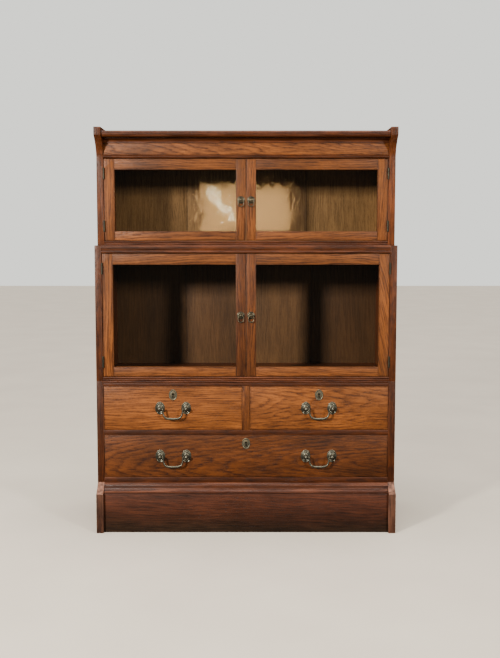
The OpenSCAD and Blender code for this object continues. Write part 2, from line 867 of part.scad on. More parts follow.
// The tails at the front of the left side, wider at their ends.
module side_tails(d) for (i = [0:tails - 1]) {
  z = front_z0(d) + (i + 0.5) * tail_pitch(d);
  w = (tail_pitch(d) - tail_gap) / 2;
  along_x(-d[1] / 2, -d[1] / 2 + lining_t) polygon([
    [y_stop, z - w + tail_narrow], [y_stop - tail_l, z - w],
    [y_stop - tail_l, z + w], [y_stop, z + w - tail_narrow]]);
}

module bottom_panel(d) box(-d[1] / 2 + lining_t - groove_d,
  d[1] / 2 - lining_t + groove_d, y_stop - groove_d, y_box_end,
  box_z0(d) + bottom_lift, box_z0(d) + bottom_lift + bottom_t);

module drawer_back(d) box(-d[1] / 2 + lining_t - back_dado,
  d[1] / 2 - lining_t + back_dado, y_box_end - back_inset - lining_t,
  y_box_end - back_inset, box_z0(d) + bottom_lift + bottom_t, box_z1(d));

module drawer_side(d) difference() {
  union() {
    box(-d[1] / 2, -d[1] / 2 + lining_t, y_stop, y_box_end,
      box_z0(d), box_z1(d));
    side_tails(d);
  }
  bottom_panel(d);
  drawer_back(d);
}

module drawer_box(d) color(lining) translate([d[0], 0, 0]) {
  drawer_side(d);
  right_hand() drawer_side(d);
  bottom_panel(d);
  drawer_back(d);
}

// Each handle's middle, from the middle of its drawer. The long drawer has two.
function handle_xs(d) = d[0] == 0 ? [-short_x, short_x] : [0];
function handle_z(d) = (front_z0(d) + front_z1(d)) / 2;

module at_posts(d) for (x = handle_xs(d), s = [-1, 1])
  translate([d[0] + x + s * post_pitch / 2, y_face, handle_z(d)]) children();

module at_key(d) translate([d[0], y_face, front_z1(d) - key_drop]) children();

shank_r = 2.5;
keyhole_r = 3;
keyslot_w = 2.8;
keyslot_l = 10.5;
key_pin_r = 1;
lock_w = 46;
lock_h = 38;
lock_t = 9;

module keyhole(y0, y1) {
  rod_y(keyhole_r, y0, y1);
  box(-keyslot_w / 2, keyslot_w / 2, y0, y1, -keyslot_l, 0);
}

module lock_room(d) translate([d[0], 0, 0]) box(-lock_w / 2, lock_w / 2,
  y_stop - lock_t, y_stop + eps, front_z1(d) - lock_h, front_z1(d) + eps);

module drawer_front(d) color(oak) difference() {
  translate([d[0], 0, 0]) difference() {
    box(-d[1] / 2, d[1] / 2, y_face, y_stop, front_z0(d), front_z1(d));
    side_tails(d);
    right_hand() side_tails(d);
    bottom_panel(d);
  }
  at_posts(d) rod_y(shank_r, -eps, front_t + eps);
  at_key(d) keyhole(-eps, front_t + eps);
  lock_room(d);
}

rose_t = 1.6;
rose_step = 6;
ball_r = 6;
neck_r = 4;
post_bore = 3;        // depth of its cross bore past the middle
bail_pin_play = 0.08;
nut_w = 9;
nut_t = 3;
scutcheon_w = 24;
scutcheon_h = 32;
scutcheon_t = 1.6;

// An oval rose in two steps, pierced for its post.
module rose() difference() {
  union() {
    along_y(-rose_t, 0) polygon(ellipse(rose_w, rose_h));
    along_y(-2 * rose_t, -rose_t)
      polygon(ellipse(rose_w - rose_step, rose_h - rose_step));
  }
  rod_y(shank_r, -3 * rose_t, eps);
}

// A post: its ball is bored from the side for the end of the grip.
module post(s) difference() {
  union() {
    rod_y(neck_r, -post_reach, -2 * rose_t);
    translate([0, -post_reach, 0]) rotate([0, 0, s < 0 ? 180 : 0])
      sphere(r = ball_r);
    rod_y(shank_r, -2 * rose_t, front_t + nut_t);
  }
  translate([s * (post_bore - ball_r - eps) / 2, -post_reach, 0])
    rod_x(bail_pin_r + bail_pin_play, -(post_bore + ball_r + eps) / 2,
      (post_bore + ball_r + eps) / 2);
}

module nut() difference() {
  box(-nut_w / 2, nut_w / 2, front_t, front_t + nut_t,
    -nut_w / 2, nut_w / 2);
  rod_y(shank_r, front_t - eps, front_t + nut_t + eps);
}

// The lock lies in the back of the front. Its bolt slides up in a slot.
bolt_w = 16;
bolt_t = 3.5;
bolt_h = 18;
bolt_gap = 0.1;
lock_wall = 2.5;
bolt_y0 = front_t - lock_t + lock_wall;

module lock_slot(d) translate([d[0], y_face, front_z1(d)])
  box(-bolt_w / 2 - bolt_gap, bolt_w / 2 + bolt_gap, bolt_y0 - bolt_gap,
    bolt_y0 + bolt_t + bolt_gap, -bolt_h, eps);

module lock_case(d) difference() {
  translate([d[0], 0, 0]) box(-lock_w / 2, lock_w / 2, y_stop - lock_t,
    y_stop, front_z1(d) - lock_h, front_z1(d));
  lock_slot(d);
  at_key(d) difference() {
    keyhole(front_t - lock_t - eps, front_t - lock_wall);
    rod_y(key_pin_r, 0, front_t);
  }
}

module lock_bolt(d) color(brass) translate([d[0], y_face, front_z1(d)])
  box(-bolt_w / 2, bolt_w / 2, bolt_y0, bolt_y0 + bolt_t, -bolt_h, 0);

module lock_mortise(x, z) translate([x, y_face, z])
  box(-bolt_w / 2 - 2 * bolt_gap, bolt_w / 2 + 2 * bolt_gap,
    bolt_y0 - 2 * bolt_gap, bolt_y0 + bolt_t + 2 * bolt_gap,
    -eps, bolt_hole_h);

module drawer_fittings(d) color(brass) {
  for (x = handle_xs(d), s = [-1, 1])
    translate([d[0] + x + s * post_pitch / 2, y_face, handle_z(d)]) {
      rose();
      post(s);
      nut();
    }
  at_key(d) difference() {
    along_y(-scutcheon_t, 0) translate([0, -keyslot_l / 4])
      polygon(ellipse(scutcheon_w, scutcheon_h));
    keyhole(-2 * scutcheon_t, eps);
  }
  lock_case(d);
}

// A swan-neck grip, hanging from its pins.
pin_in = 2;           // pin end short of the middle of the post
neck_bend = 4;
bail_leg_x = post_pitch / 2 - ball_r - neck_bend - 2;
bail_bend = 13;

module bend(r, x, z, a0) translate([x, 0, z]) rotate([90, 0, 0])
  rotate([0, 0, a0]) rotate_extrude(angle = 90)
  translate([r, 0]) circle(r = grip_r);

module half_bail() {
  rod_x(bail_pin_r, bail_leg_x + neck_bend, post_pitch / 2 - pin_in);
  bend(neck_bend, bail_leg_x + neck_bend, -neck_bend, 90);
  translate([bail_leg_x, 0, -bail_drop + bail_bend])
    cylinder(r = grip_r, h = bail_drop - bail_bend - neck_bend);
  bend(bail_bend, bail_leg_x - bail_bend, -bail_drop + bail_bend, 270);
}

module bail(d, x) color(brass)
  translate([d[0] + x, y_face - post_reach, handle_z(d)]) {
    half_bail();
    right_hand() half_bail();
    translate([0, 0, -bail_drop])
      rod_x(grip_r, -bail_leg_x + bail_bend, bail_leg_x - bail_bend);
  }

// ---------- nodes ----------

plinth_cheek();  // plinth_cheek_left
right_hand() plinth_cheek();  // plinth_cheek_right
plinth_board();
plinth_moulding();
plinth_frame();
drawer_case_side();  // drawer_case_side_left
right_hand() drawer_case_side();  // drawer_case_side_right
drawer_case_top();
drawer_case_bottom();
drawer_dividers();
drawer_runners();
middle_case_side();  // middle_case_side_left
right_hand() middle_case_side();  // middle_case_side_right
middle_case_top();
middle_case_bottom();
upper_cheek();  // upper_cheek_left
right_hand() upper_cheek();  // upper_cheek_right
upper_case_top();
upper_case_bottom();
cornice_cap();
frieze();
back_panels();
case_hinges();
locating_dowels();

door_frame(UPPER);  // door_upper_left_frame
door_glass(UPPER);  // door_upper_left_glass
left_brassware(UPPER);  // door_upper_left_brassware
ring(UPPER);  // door_upper_left_ring
door_bolt(UPPER);  // door_upper_left_bolt
right_hand() door_frame(UPPER);  // door_upper_right_frame
right_hand() door_glass(UPPER);  // door_upper_right_glass
right_hand() right_brassware(UPPER);  // door_upper_right_brassware
right_hand() catch(UPPER);  // door_upper_right_catch
right_hand() ring(UPPER);  // door_upper_right_ring
door_frame(MIDDLE);  // door_middle_left_frame
door_glass(MIDDLE);  // door_middle_left_glass
left_brassware(MIDDLE);  // door_middle_left_brassware
ring(MIDDLE);  // door_middle_left_ring
door_bolt(MIDDLE);  // door_middle_left_bolt
right_hand() door_frame(MIDDLE);  // door_middle_right_frame
right_hand() door_glass(MIDDLE);  // door_middle_right_glass
right_hand() right_brassware(MIDDLE);  // door_middle_right_brassware
right_hand() catch(MIDDLE);  // door_middle_right_catch
right_hand() ring(MIDDLE);  // door_middle_right_ring

drawer_front(LEFT);  // drawer_left_front
drawer_box(LEFT);  // drawer_left_box
drawer_fittings(LEFT);  // drawer_left_fittings
bail(LEFT, 0);  // drawer_left_bail
lock_bolt(LEFT);  // drawer_left_lock_bolt
drawer_front(RIGHT);  // drawer_right_front
drawer_box(RIGHT);  // drawer_right_box
drawer_fittings(RIGHT);  // drawer_right_fittings
bail(RIGHT, 0);  // drawer_right_bail
lock_bolt(RIGHT);  // drawer_right_lock_bolt
drawer_front(LONG);  // drawer_long_front
drawer_box(LONG);  // drawer_long_box
drawer_fittings(LONG);  // drawer_long_fittings
bail(LONG, -short_x);  // drawer_long_bail_left
bail(LONG, short_x);  // drawer_long_bail_right
lock_bolt(LONG);  // drawer_long_lock_bolt
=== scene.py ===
"""An oak bookcase of stacked cases: its boards, mouldings, glass and brass."""

import math
import random
import zlib

import bmesh
import bpy
from mathutils import Matrix, Vector


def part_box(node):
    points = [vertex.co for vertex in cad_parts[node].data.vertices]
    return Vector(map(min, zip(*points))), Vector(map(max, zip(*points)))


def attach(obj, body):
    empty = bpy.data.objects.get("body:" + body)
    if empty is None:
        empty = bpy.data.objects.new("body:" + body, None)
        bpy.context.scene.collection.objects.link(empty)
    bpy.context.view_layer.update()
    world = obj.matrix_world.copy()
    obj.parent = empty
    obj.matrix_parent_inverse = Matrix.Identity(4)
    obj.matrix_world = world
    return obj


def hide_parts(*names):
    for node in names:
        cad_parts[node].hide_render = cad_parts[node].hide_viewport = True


bl_info = {
    "name": "Stacked oak bookcase",
    "version": (1, 0, 0),
    "blender": (4, 5, 0),
    "location": "View3D > Sidebar > Bookcase",
    "description": "Builds the boards, glass and brass of an oak bookcase",
    "category": "Object",
}

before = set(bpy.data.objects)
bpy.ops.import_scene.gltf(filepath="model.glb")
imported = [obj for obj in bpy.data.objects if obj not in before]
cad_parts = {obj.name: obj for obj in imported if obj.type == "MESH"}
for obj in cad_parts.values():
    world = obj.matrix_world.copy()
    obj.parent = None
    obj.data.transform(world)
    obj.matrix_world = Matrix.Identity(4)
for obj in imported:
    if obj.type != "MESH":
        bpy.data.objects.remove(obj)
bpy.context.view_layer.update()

CASES = ("upper", "middle")
DRAWERS = ("left", "right", "long")
# Shapes are drawn for the left, at -X. The number turns them to their side.
SIDES = (("left", 1), ("right", -1))

# Metres.
REED_BULGE = 0.0025  # of the reeds and noses on the boards' fronts
DOOR_GAP = 0.0015  # over a door
DRAWER_GAP = 0.001  # round a drawer front
RAIL_DEEP = 0.060  # front to back
HINGE_INSET = 0.042  # from a door's end to the middle of a hinge
HINGE_HALF = 0.016  # of a hinge's height
KNUCKLE = 0.0028  # radius of a hinge's barrel
BOLT_OUT = 0.0044  # from a door's back to the middle of its bolt
PULL_HOLE = 0.0031  # radius of the hole for a ring's post
PULL_PIN = Vector((0, -0.0065, 0))  # from a door's front to a ring's pin
KEY_FALL = 0.022  # from a drawer front's top to its keyhole
LOCK_HALF, LOCK_DEEP, LOCK_HIGH = 0.023, 0.009, 0.038
POST_HALF = 0.038  # of the distance between a handle's posts
POST_HOLE = 0.0025  # radius
BAIL_OUT = 0.017  # from a drawer front to the line that a bail turns on

# Shares of the head's radius.
SLOTTED_HEAD = {"Head height": 0.28, "Slot width": 0.26, "Slot depth": 0.2}

# Degrees. An edge that turns by more than this is bevelled, or is left sharp.
BEVEL_TURN = 30.0
WOOD_TURN = 20.0
METAL_TURN = 32.0
GLASS_TURN = 1.0


def lohi(node):
    """The lowest and highest corners of a node."""
    lo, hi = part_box(node)
    return Vector(lo), Vector(hi)


# Lines of the carcass that many pieces share, in metres.
X_IN = lohi("middle_case_side_right")[0].x
X_OUT = lohi("middle_case_side_right")[1].x
Y_BACK = lohi("plinth_cheek_left")[1].y
Y_MAIN = lohi("middle_case_side_left")[0].y
Y_UP = lohi("upper_case_bottom")[0].y
Y_EAR = lohi("upper_cheek_left")[0].y
Y_PANEL = lohi("back_panels")[0].y
PANEL_LAP = lohi("back_panels")[1].x - X_IN
FRONT = {"upper": Y_UP, "middle": Y_MAIN}


# ---------------------------------------------------------------- settings


class BookcaseSizes(bpy.types.PropertyGroup):
    """Sizes that aren't read from model.glb."""

    hinge_stile: bpy.props.FloatProperty(
        name="Hinge stile", description="Width of the stile with the hinges",
        default=0.0295, unit="LENGTH")
    meeting_stile: bpy.props.FloatProperty(
        name="Meeting stile", description="Width of the stile at the middle",
        default=0.028, unit="LENGTH")
    top_rail: bpy.props.FloatProperty(
        name="Top rail", description="Width of a door's top rail",
        default=0.031, unit="LENGTH")
    bottom_rail: bpy.props.FloatProperty(
        name="Bottom rail", description="Width of a door's bottom rail",
        default=0.027, unit="LENGTH")
    lip: bpy.props.FloatProperty(
        name="Lip", description="Wood in front of the glass",
        default=0.008, unit="LENGTH")
    rebate: bpy.props.FloatProperty(
        name="Rebate", description="Width of the rebate for the glass",
        default=0.006, unit="LENGTH")
    glass: bpy.props.FloatProperty(
        name="Glass", description="Thickness of a pane",
        default=0.0025, unit="LENGTH")
    lining: bpy.props.FloatProperty(
        name="Drawer side", description="Thickness of drawer sides and backs",
        default=0.010, unit="LENGTH")
    tail: bpy.props.FloatProperty(
        name="Dovetail", description="Length of the dovetails",
        default=0.014, unit="LENGTH")
    edge: bpy.props.FloatProperty(
        name="Edge", description="Wear on the edges of the boards",
        default=0.0009, unit="LENGTH")


def colour(name, description, value):
    """A colour that a user can change."""
    return bpy.props.FloatVectorProperty(
        name=name, description=description, default=value, size=3,
        min=0.0, max=1.0, subtype="COLOR")


class BookcaseFinish(bpy.types.PropertyGroup):
    """Colours of the wood and the metal, in linear light."""

    door_light: colour("Doors, light", "Late wood of doors and drawers",
                       (0.230, 0.069, 0.0125))
    door_dark: colour("Doors, dark", "Early wood of doors and drawers",
                      (0.038, 0.0088, 0.0021))
    case_light: colour("Cases, light", "Late wood of the cases",
                       (0.135, 0.0345, 0.0068))
    case_dark: colour("Cases, dark", "Early wood of the cases",
                      (0.036, 0.0080, 0.0018))
    plinth_light: colour("Plinth, light", "Late wood of the plinth board",
                         (0.074, 0.0190, 0.0068))
    plinth_dark: colour("Plinth, dark", "Early wood of the plinth board",
                        (0.022, 0.0060, 0.0024))
    panel_light: colour("Backs, light", "Late wood of the back panels",
                        (0.230, 0.122, 0.040))
    panel_dark: colour("Backs, dark", "Early wood of the back panels",
                       (0.115, 0.056, 0.0155))
    lining_light: colour("Linings, light", "Late wood of the linings",
                         (0.42, 0.27, 0.14))
    lining_dark: colour("Linings, dark", "Early wood of the linings",
                        (0.26, 0.15, 0.07))
    brass_worn: colour("Brass, worn", "Rubbed brass",
                       (0.30, 0.25, 0.15))
    brass_dull: colour("Brass, dull", "Tarnished brass",
                       (0.085, 0.085, 0.066))


def sizes():
    """The sizes of the bookcase in this scene."""
    return bpy.context.scene.bookcase_sizes


def finish():
    """The colours of the bookcase in this scene."""
    return bpy.context.scene.bookcase_finish


# ---------------------------------------------------------------- materials


class Nodes:
    """Short names for making and joining a material's nodes."""

    def __init__(self, name):
        self.material = bpy.data.materials.new(name)
        self.material.use_nodes = True
        self.tree = self.material.node_tree
        self.tree.nodes.clear()
        self.shader = self.add("ShaderNodeBsdfPrincipled")
        out = self.add("ShaderNodeOutputMaterial")
        self.tree.links.new(self.shader.outputs[0], out.inputs["Surface"])

    def add(self, kind, **settings):
        node = self.tree.nodes.new(kind)
        for key, value in settings.items():
            setattr(node, key, value)
        return node

    def put(self, value, socket):
        if isinstance(value, bpy.types.NodeSocket):
            self.tree.links.new(value, socket)
        else:
            socket.default_value = value

    def math(self, operation, *values, clamp=False):
        node = self.add("ShaderNodeMath", operation=operation, use_clamp=clamp)
        for value, socket in zip(values, node.inputs):
            self.put(value, socket)
        return node.outputs[0]

    def plus(self, a, b, clamp=False):
        return self.math("ADD", a, b, clamp=clamp)

    def minus(self, a, b, clamp=False):
        return self.math("SUBTRACT", a, b, clamp=clamp)

    def times(self, a, b, clamp=False):
        return self.math("MULTIPLY", a, b, clamp=clamp)

    def swing(self, value, width):
        """A value from 0 to 1, made to swing about 0."""
        return self.times(self.minus(value, 0.5), width)

    def position(self):
        return self.add("ShaderNodeTexCoord").outputs["Object"]

    def noise(self, vector, scale, detail=3.0, rough=0.5):
        """scale is the number of patches in a metre, or one for each axis."""
        place = self.add("ShaderNodeMapping")
        self.put(vector, place.inputs["Vector"])
        place.inputs["Scale"].default_value = (
            scale if hasattr(scale, "__len__") else (scale,) * 3)
        node = self.add("ShaderNodeTexNoise")
        self.put(place.outputs[0], node.inputs["Vector"])
        node.inputs["Scale"].default_value = 1.0
        node.inputs["Detail"].default_value = detail
        node.inputs["Roughness"].default_value = rough
        return node.outputs["Fac"]

    def ramp(self, value, *stops):
        """stops are (place, grey or colour)."""
        node = self.add("ShaderNodeValToRGB")
        self.put(value, node.inputs[0])
        ramp = node.color_ramp
        while len(ramp.elements) < len(stops):
            ramp.elements.new(0.5)
        for element, (place, shade) in zip(ramp.elements, stops):
            if not hasattr(shade, "__len__"):
                shade = (shade, shade, shade)
            element.position = place
            element.color = (*shade, 1.0)
        return node.outputs[0]

    def mix(self, amount, a, b, blend="MIX"):
        node = self.add("ShaderNodeMix", data_type="RGBA", blend_type=blend)
        for value, socket in ((amount, node.inputs["Factor"]),
                              (a, node.inputs[6]), (b, node.inputs[7])):
            if not isinstance(value, (bpy.types.NodeSocket, float, int)):
                value = (*value, 1.0)
            self.put(value, socket)
        return node.outputs[2]

    def attribute(self, name, output):
        return self.add("ShaderNodeAttribute",
                        attribute_name=name).outputs[output]

    def axes(self, vector):
        node = self.add("ShaderNodeSeparateXYZ")
        self.put(vector, node.inputs[0])
        return node.outputs

    def bump(self, height, distance, strength=1.0):
        node = self.add("ShaderNodeBump")
        self.put(height, node.inputs["Height"])
        node.inputs["Distance"].default_value = distance
        node.inputs["Strength"].default_value = strength
        self.put(node.outputs[0], self.shader.inputs["Normal"])


def scaled(colour, share, lift=0.0):
    """A share of a colour, with grey added."""
    return tuple(share * c + lift for c in colour)


def growth_rings(n, grain, width):
    """Rings round a heart, from 0 in early wood to 1 in late wood."""
    sway = n.swing(n.noise(grain, (2.1, 6.0, 6.0), 2.0), 0.075)
    ripple = n.swing(n.noise(grain, (11.0, 48.0, 48.0), 2.0), 0.010)
    shift = n.plus(sway, ripple)
    across, through = n.axes(grain)[1:]
    spot = n.add("ShaderNodeCombineXYZ")
    n.put(n.plus(across, shift), spot.inputs[1])
    n.put(n.plus(through, n.times(shift, 0.6)), spot.inputs[2])
    radius = n.add("ShaderNodeVectorMath", operation="LENGTH")
    n.put(spot.outputs[0], radius.inputs[0])
    turn = n.math("DIVIDE", radius.outputs["Value"], width)
    uneven = n.noise(grain, (1.0, 55.0, 55.0), 2.0)
    turn = n.plus(turn, n.times(uneven, 1.4))
    return n.ramp(n.math("FRACT", turn), (0.0, 0.0), (0.30, 0.60),
                  (0.70, 1.0), (0.90, 0.75), (1.0, 0.0))


def rim_dirt_and_shade(n, place):
    """Painted shade in the gaps between parts, with old dirt, in a ragged line
    along the rim of a board's face.
    """
    line_wide, raggedness, strength = 0.0045, 1.9, 0.52
    local = n.axes(n.attribute("local", "Vector"))
    half = n.axes(n.attribute("half", "Vector"))
    rim = n.math("MINIMUM", *(n.minus(half[i], n.math("ABSOLUTE", local[i]))
                              for i in (0, 1)))
    blot = n.noise(place, 80.0, 4.0, 0.7)
    rim = n.plus(n.math("DIVIDE", rim, line_wide), n.swing(blot, raggedness))
    return n.times(n.minus(1.0, rim, clamp=True), strength)


def oak(name, light, dark, ring=0.0062, gloss=0.46, foot_dark=False,
        contrast=1.0, lightening_share=0.5):
    """Oak cut from a log: rings, streaks, pores, dirt with painted shade at
    the rims, and edges lightened for wear and a painted highlight.

    The "grain", "local" and "half" attributes run (along, across, through)
    each board. ring is the width of a year's growth.
    """
    ring_share, streak_share, fibre_share = 0.44, 0.50, 0.22
    n = Nodes(name)
    place = n.position()
    grain = n.attribute("grain", "Vector")
    rings = growth_rings(n, grain, ring)
    streak = n.noise(grain, (12.0, 175.0, 175.0), 5.0, 0.72)
    streak = n.ramp(streak, (0.43, 0.0), (0.55, 1.0))
    fibre = n.noise(grain, (38.0, 620.0, 620.0), 3.0, 0.6)
    fibre = n.ramp(fibre, (0.38, 0.0), (0.62, 1.0))
    pores = n.noise(grain, (120.0, 2100.0, 2100.0), 1.0)
    pores = n.ramp(pores, (0.56, 0.0), (0.66, 1.0))
    pores = n.times(pores, n.minus(1.0, n.times(rings, 0.7)))
    tint = n.plus(n.times(rings, ring_share), n.times(streak, streak_share))
    tint = n.plus(tint, n.times(fibre, fibre_share), clamp=True)
    shade = n.mix(tint, dark, light)
    mottle = n.noise(grain, (5.0, 13.0, 13.0), 4.0, 0.62)
    mottle = n.ramp(mottle, (0.30, 1.0 - 0.45 * contrast),
                    (0.70, 1.0 + 0.35 * contrast))
    shade = n.mix(1.0, shade, mottle, "MULTIPLY")
    tone = n.ramp(n.attribute("tone", "Fac"), (0.0, (0.34, 0.28, 0.25)),
                  (0.5, (1.0, 1.0, 1.0)), (1.0, (1.50, 1.52, 1.50)))
    shade = n.mix(1.0, shade, tone, "MULTIPLY")
    shade = n.mix(n.times(pores, 0.85), shade, scaled(dark, 0.30))
    # Painted shade: each board's rim is darkened as if shade fell in the gap
    # beside it, along with real dirt.
    dirt_and_shade = n.mix(1.0, shade, (0.20, 0.16, 0.14), "MULTIPLY")
    shade = n.mix(rim_dirt_and_shade(n, place), shade, dirt_and_shade)
    # Edges and mouldings lightened: partly wear, partly a painted highlight
    # where light would catch their rounded faces.
    lightening = n.ramp(n.noise(grain, (9.0, 120.0, 120.0)), (0.44, 0.0),
                 (0.64, 1.0))
    lightening = n.times(n.attribute("edge", "Fac"), n.times(lightening, lightening_share))
    shade = n.mix(lightening, shade, scaled(light, 1.3, 0.018))
    smear = n.noise(place, 7.0)
    # Darker towards the bottom of the board, in a ragged line.
    if foot_dark:
        height = n.plus(n.axes(place)[2], n.swing(smear, 0.05))
        foot_darkening = n.ramp(n.times(height, 8.0), (0.08, (0.40, 0.74, 1.00)),
                      (0.38, (0.66, 0.76, 0.84)), (0.74, (1.0, 1.0, 1.0)))
        shade = n.mix(1.0, shade, foot_darkening, "MULTIPLY")
    n.put(shade, n.shader.inputs["Base Color"])
    polish = n.plus(n.times(smear, 0.22), gloss - 0.11)
    polish = n.plus(polish, n.times(pores, 0.25), clamp=True)
    n.put(polish, n.shader.inputs["Roughness"])
    n.shader.inputs["Specular IOR Level"].default_value = 0.24
    relief = n.minus(n.times(rings, 0.35), pores)
    n.bump(n.plus(relief, n.times(fibre, 0.25)), 0.0003, 0.55)
    return n.material


def brass(name, worn, dull, lightening_share=0.5, rough=0.40):
    """Old brass: tarnished in the hollows, rubbed on what stands proud."""
    n = Nodes(name)
    place = n.position()
    cloud = n.noise(place, 85.0, 4.0, 0.6)
    speck = n.noise(place, 900.0, 2.0)
    proud = n.add("ShaderNodeNewGeometry").outputs["Pointiness"]
    proud = n.ramp(proud, (0.49, 0.0), (0.56, 1.0))
    lightening = n.plus(n.times(proud, 0.6), n.ramp(cloud, (0.40, 0.0), (0.68, 1.0)))
    lightening = n.times(lightening, lightening_share, clamp=True)
    shade = n.mix(n.ramp(speck, (0.55, 0.0), (0.70, 0.45)),
                  n.mix(lightening, dull, worn), scaled(dull, 0.4))
    n.put(shade, n.shader.inputs["Base Color"])
    n.shader.inputs["Metallic"].default_value = 0.85
    roughness = n.plus(n.times(speck, 0.22), rough - 0.1)
    roughness = n.minus(roughness, n.times(lightening, 0.10))
    n.put(roughness, n.shader.inputs["Roughness"])
    n.bump(n.plus(cloud, n.times(speck, 0.4)), 0.0002, 0.5)
    return n.material


def pane(name):
    """Drawn glass: nearly clear, with a slow wave in its surface."""
    n = Nodes(name)
    place = n.position()
    wave = n.noise(place, (26.0, 26.0, 15.0), 4.0, 0.6)
    dust = n.noise(place, 60.0, 4.0, 0.7)
    sockets = n.shader.inputs
    sockets["Base Color"].default_value = (0.50, 0.53, 0.47, 1.0)
    sockets["Metallic"].default_value = 1.0
    sockets["Alpha"].default_value = 0.025
    n.put(n.ramp(dust, (0.35, 0.022), (0.80, 0.045)), sockets["Roughness"])
    n.bump(wave, 0.00026)
    return n.material


def painted_keyhole_shade(name):
    """Painted shade for the inside of a keyhole: near black, standing in for
    the dark of the hole.
    """
    n = Nodes(name)
    shade_speckle = n.noise(n.position(), 400.0, 2.0)
    n.put(n.ramp(shade_speckle, (0.3, (0.004, 0.003, 0.002)),
                 (0.8, (0.016, 0.012, 0.008))), n.shader.inputs["Base Color"])
    n.shader.inputs["Roughness"].default_value = 0.9
    return n.material


MATERIALS = {}


def mixed(one, two, grey):
    """A little less than half of each of two colours, with grey added."""
    return tuple(0.45 * (a + b) + grey for a, b in zip(one, two))


def make_materials():
    """Every finish, under the name that the pieces ask for."""
    f = finish()
    worn, dull = f.brass_worn, f.brass_dull
    MATERIALS.update({
        "door_oak": oak("Door oak", f.door_light, f.door_dark, ring=0.0070),
        "case_oak": oak("Carcass oak", f.case_light, f.case_dark, gloss=0.42),
        "plinth_oak": oak("Plinth oak", f.plinth_light, f.plinth_dark,
                          gloss=0.42, foot_dark=True),
        # The plinth cheeks are lightened hard on their edge faces: wear and a
        # painted highlight where each knee faces up.
        "plinth_cheek": oak("Plinth cheek oak",
                            mixed(f.case_light, f.door_light, 0.035),
                            mixed(f.case_dark, f.door_dark, 0.012), lightening_share=0.9),
        "panel_wood": oak("Panel wood", f.panel_light, f.panel_dark,
                          ring=0.0045, gloss=0.62, contrast=0.6, lightening_share=0.1),
        "lining_wood": oak("Lining wood", f.lining_light, f.lining_dark,
                           ring=0.0045, gloss=0.60, contrast=0.7, lightening_share=0.2),
        "light_brass": brass("Light brass", worn, scaled(dull, 0.30), 0.32),
        "hinge_brass": brass("Hinge brass", scaled(worn, 0.5),
                             scaled(dull, 0.3), 0.15, 0.5),
        "dark_brass": brass("Dark brass", worn, dull, 0.22),
        "pale_brass": brass("Pale brass", scaled(worn, 0.75),
                            scaled(dull, 0.75), 0.6, 0.5),
        "glass": pane("Drawn glass"),
        # Painted shade for the keyholes.
        "keyhole_shade_paint": painted_keyhole_shade("Dark hole"),
    })


# ---------------------------------------------------------------- meshes


def new_object(name, data):
    """Puts a mesh, a lamp or a camera into the scene."""
    thing = bpy.data.objects.new(name, data)
    bpy.context.scene.collection.objects.link(thing)
    return thing


def from_bmesh(name, bm):
    """An object, with its points merged and its faces turned outwards."""
    bmesh.ops.remove_doubles(bm, verts=bm.verts, dist=1e-7)
    bmesh.ops.recalc_face_normals(bm, faces=bm.faces)
    mesh = bpy.data.meshes.new(name)
    bm.to_mesh(mesh)
    bm.free()
    return new_object(name, mesh)


def soften(bm, width):
    """Bevels the edges that turn by more than BEVEL_TURN."""
    if width <= 0:
        return
    limit = math.radians(BEVEL_TURN)
    edges = [e for e in bm.edges
             if len(e.link_faces) == 2 and e.calc_face_angle() > limit]
    bmesh.ops.bevel(bm, geom=edges, offset=width, segments=2, profile=0.6,
                    affect="EDGES", clamp_overlap=True)


def prism(name, outline, axis, low, high, edge=None):
    """An outline extruded along an axis, with its edges bevelled by edge.

    The outline's points are (y, z) for X, (x, z) for Y and (x, y) for Z.
    """
    bm = bmesh.new()
    order = {"X": lambda p, h: (h, p[0], p[1]),
             "Y": lambda p, h: (p[0], h, p[1]),
             "Z": lambda p, h: (p[0], p[1], h)}[axis]
    ends = [[bm.verts.new(order(p, h)) for p in outline] for h in (low, high)]
    bm.faces.new(ends[0])
    bm.faces.new(ends[1])
    for i in range(len(outline)):
        j = (i + 1) % len(outline)
        bm.faces.new((ends[0][i], ends[0][j], ends[1][j], ends[1][i]))
    bmesh.ops.recalc_face_normals(bm, faces=bm.faces)
    soften(bm, sizes().edge if edge is None else edge)
    return from_bmesh(name, bm)


def block(name, lo, hi, edge=None):
    """A box with bevelled edges."""
    outline = [(lo[0], lo[1]), (hi[0], lo[1]), (hi[0], hi[1]), (lo[0], hi[1])]
    return prism(name, outline, "Z", lo[2], hi[2], edge)


def skin(bm, rows, closed=False):
    """Faces between rows of points. The ends are shut, or else joined up."""
    for a, b in zip(rows, rows[1:] + rows[:1] if closed else rows[1:]):
        for i in range(len(a)):
            j = (i + 1) % len(a)
            bm.faces.new((a[i], a[j], b[j], b[i]))
    if not closed:
        bm.faces.new(rows[0])
        bm.faces.new(rows[-1])


def lathe(name, profile, centre, direction="Y", stretch=(1.0, 1.0), steps=40,
          pierced=False):
    """Turns (radius, height) points round a line through centre.

    Heights run along +Y, or +X or +Z. stretch makes the turning oval. A
    pierced turning is a ring: its profile closes on itself.
    """
    bm = bmesh.new()
    rows = []
    for radius, height in profile:
        row = []
        for i in range(steps):
            a = 2 * math.pi * i / steps
            u = radius * stretch[0] * math.cos(a)
            v = radius * stretch[1] * math.sin(a)
            spot = {"Y": (u, height, v), "X": (height, u, v),
                    "Z": (u, v, height)}[direction]
            row.append(bm.verts.new(Vector(spot) + Vector(centre)))
        rows.append(row)
    skin(bm, rows, pierced)
    return from_bmesh(name, bm)


def drill(centre, radius, low, high, direction="Y", steps=24):
    """A plain round cutter."""
    return lathe("cutter", [(radius, low), (radius, high)], centre, direction,
                 steps=steps)


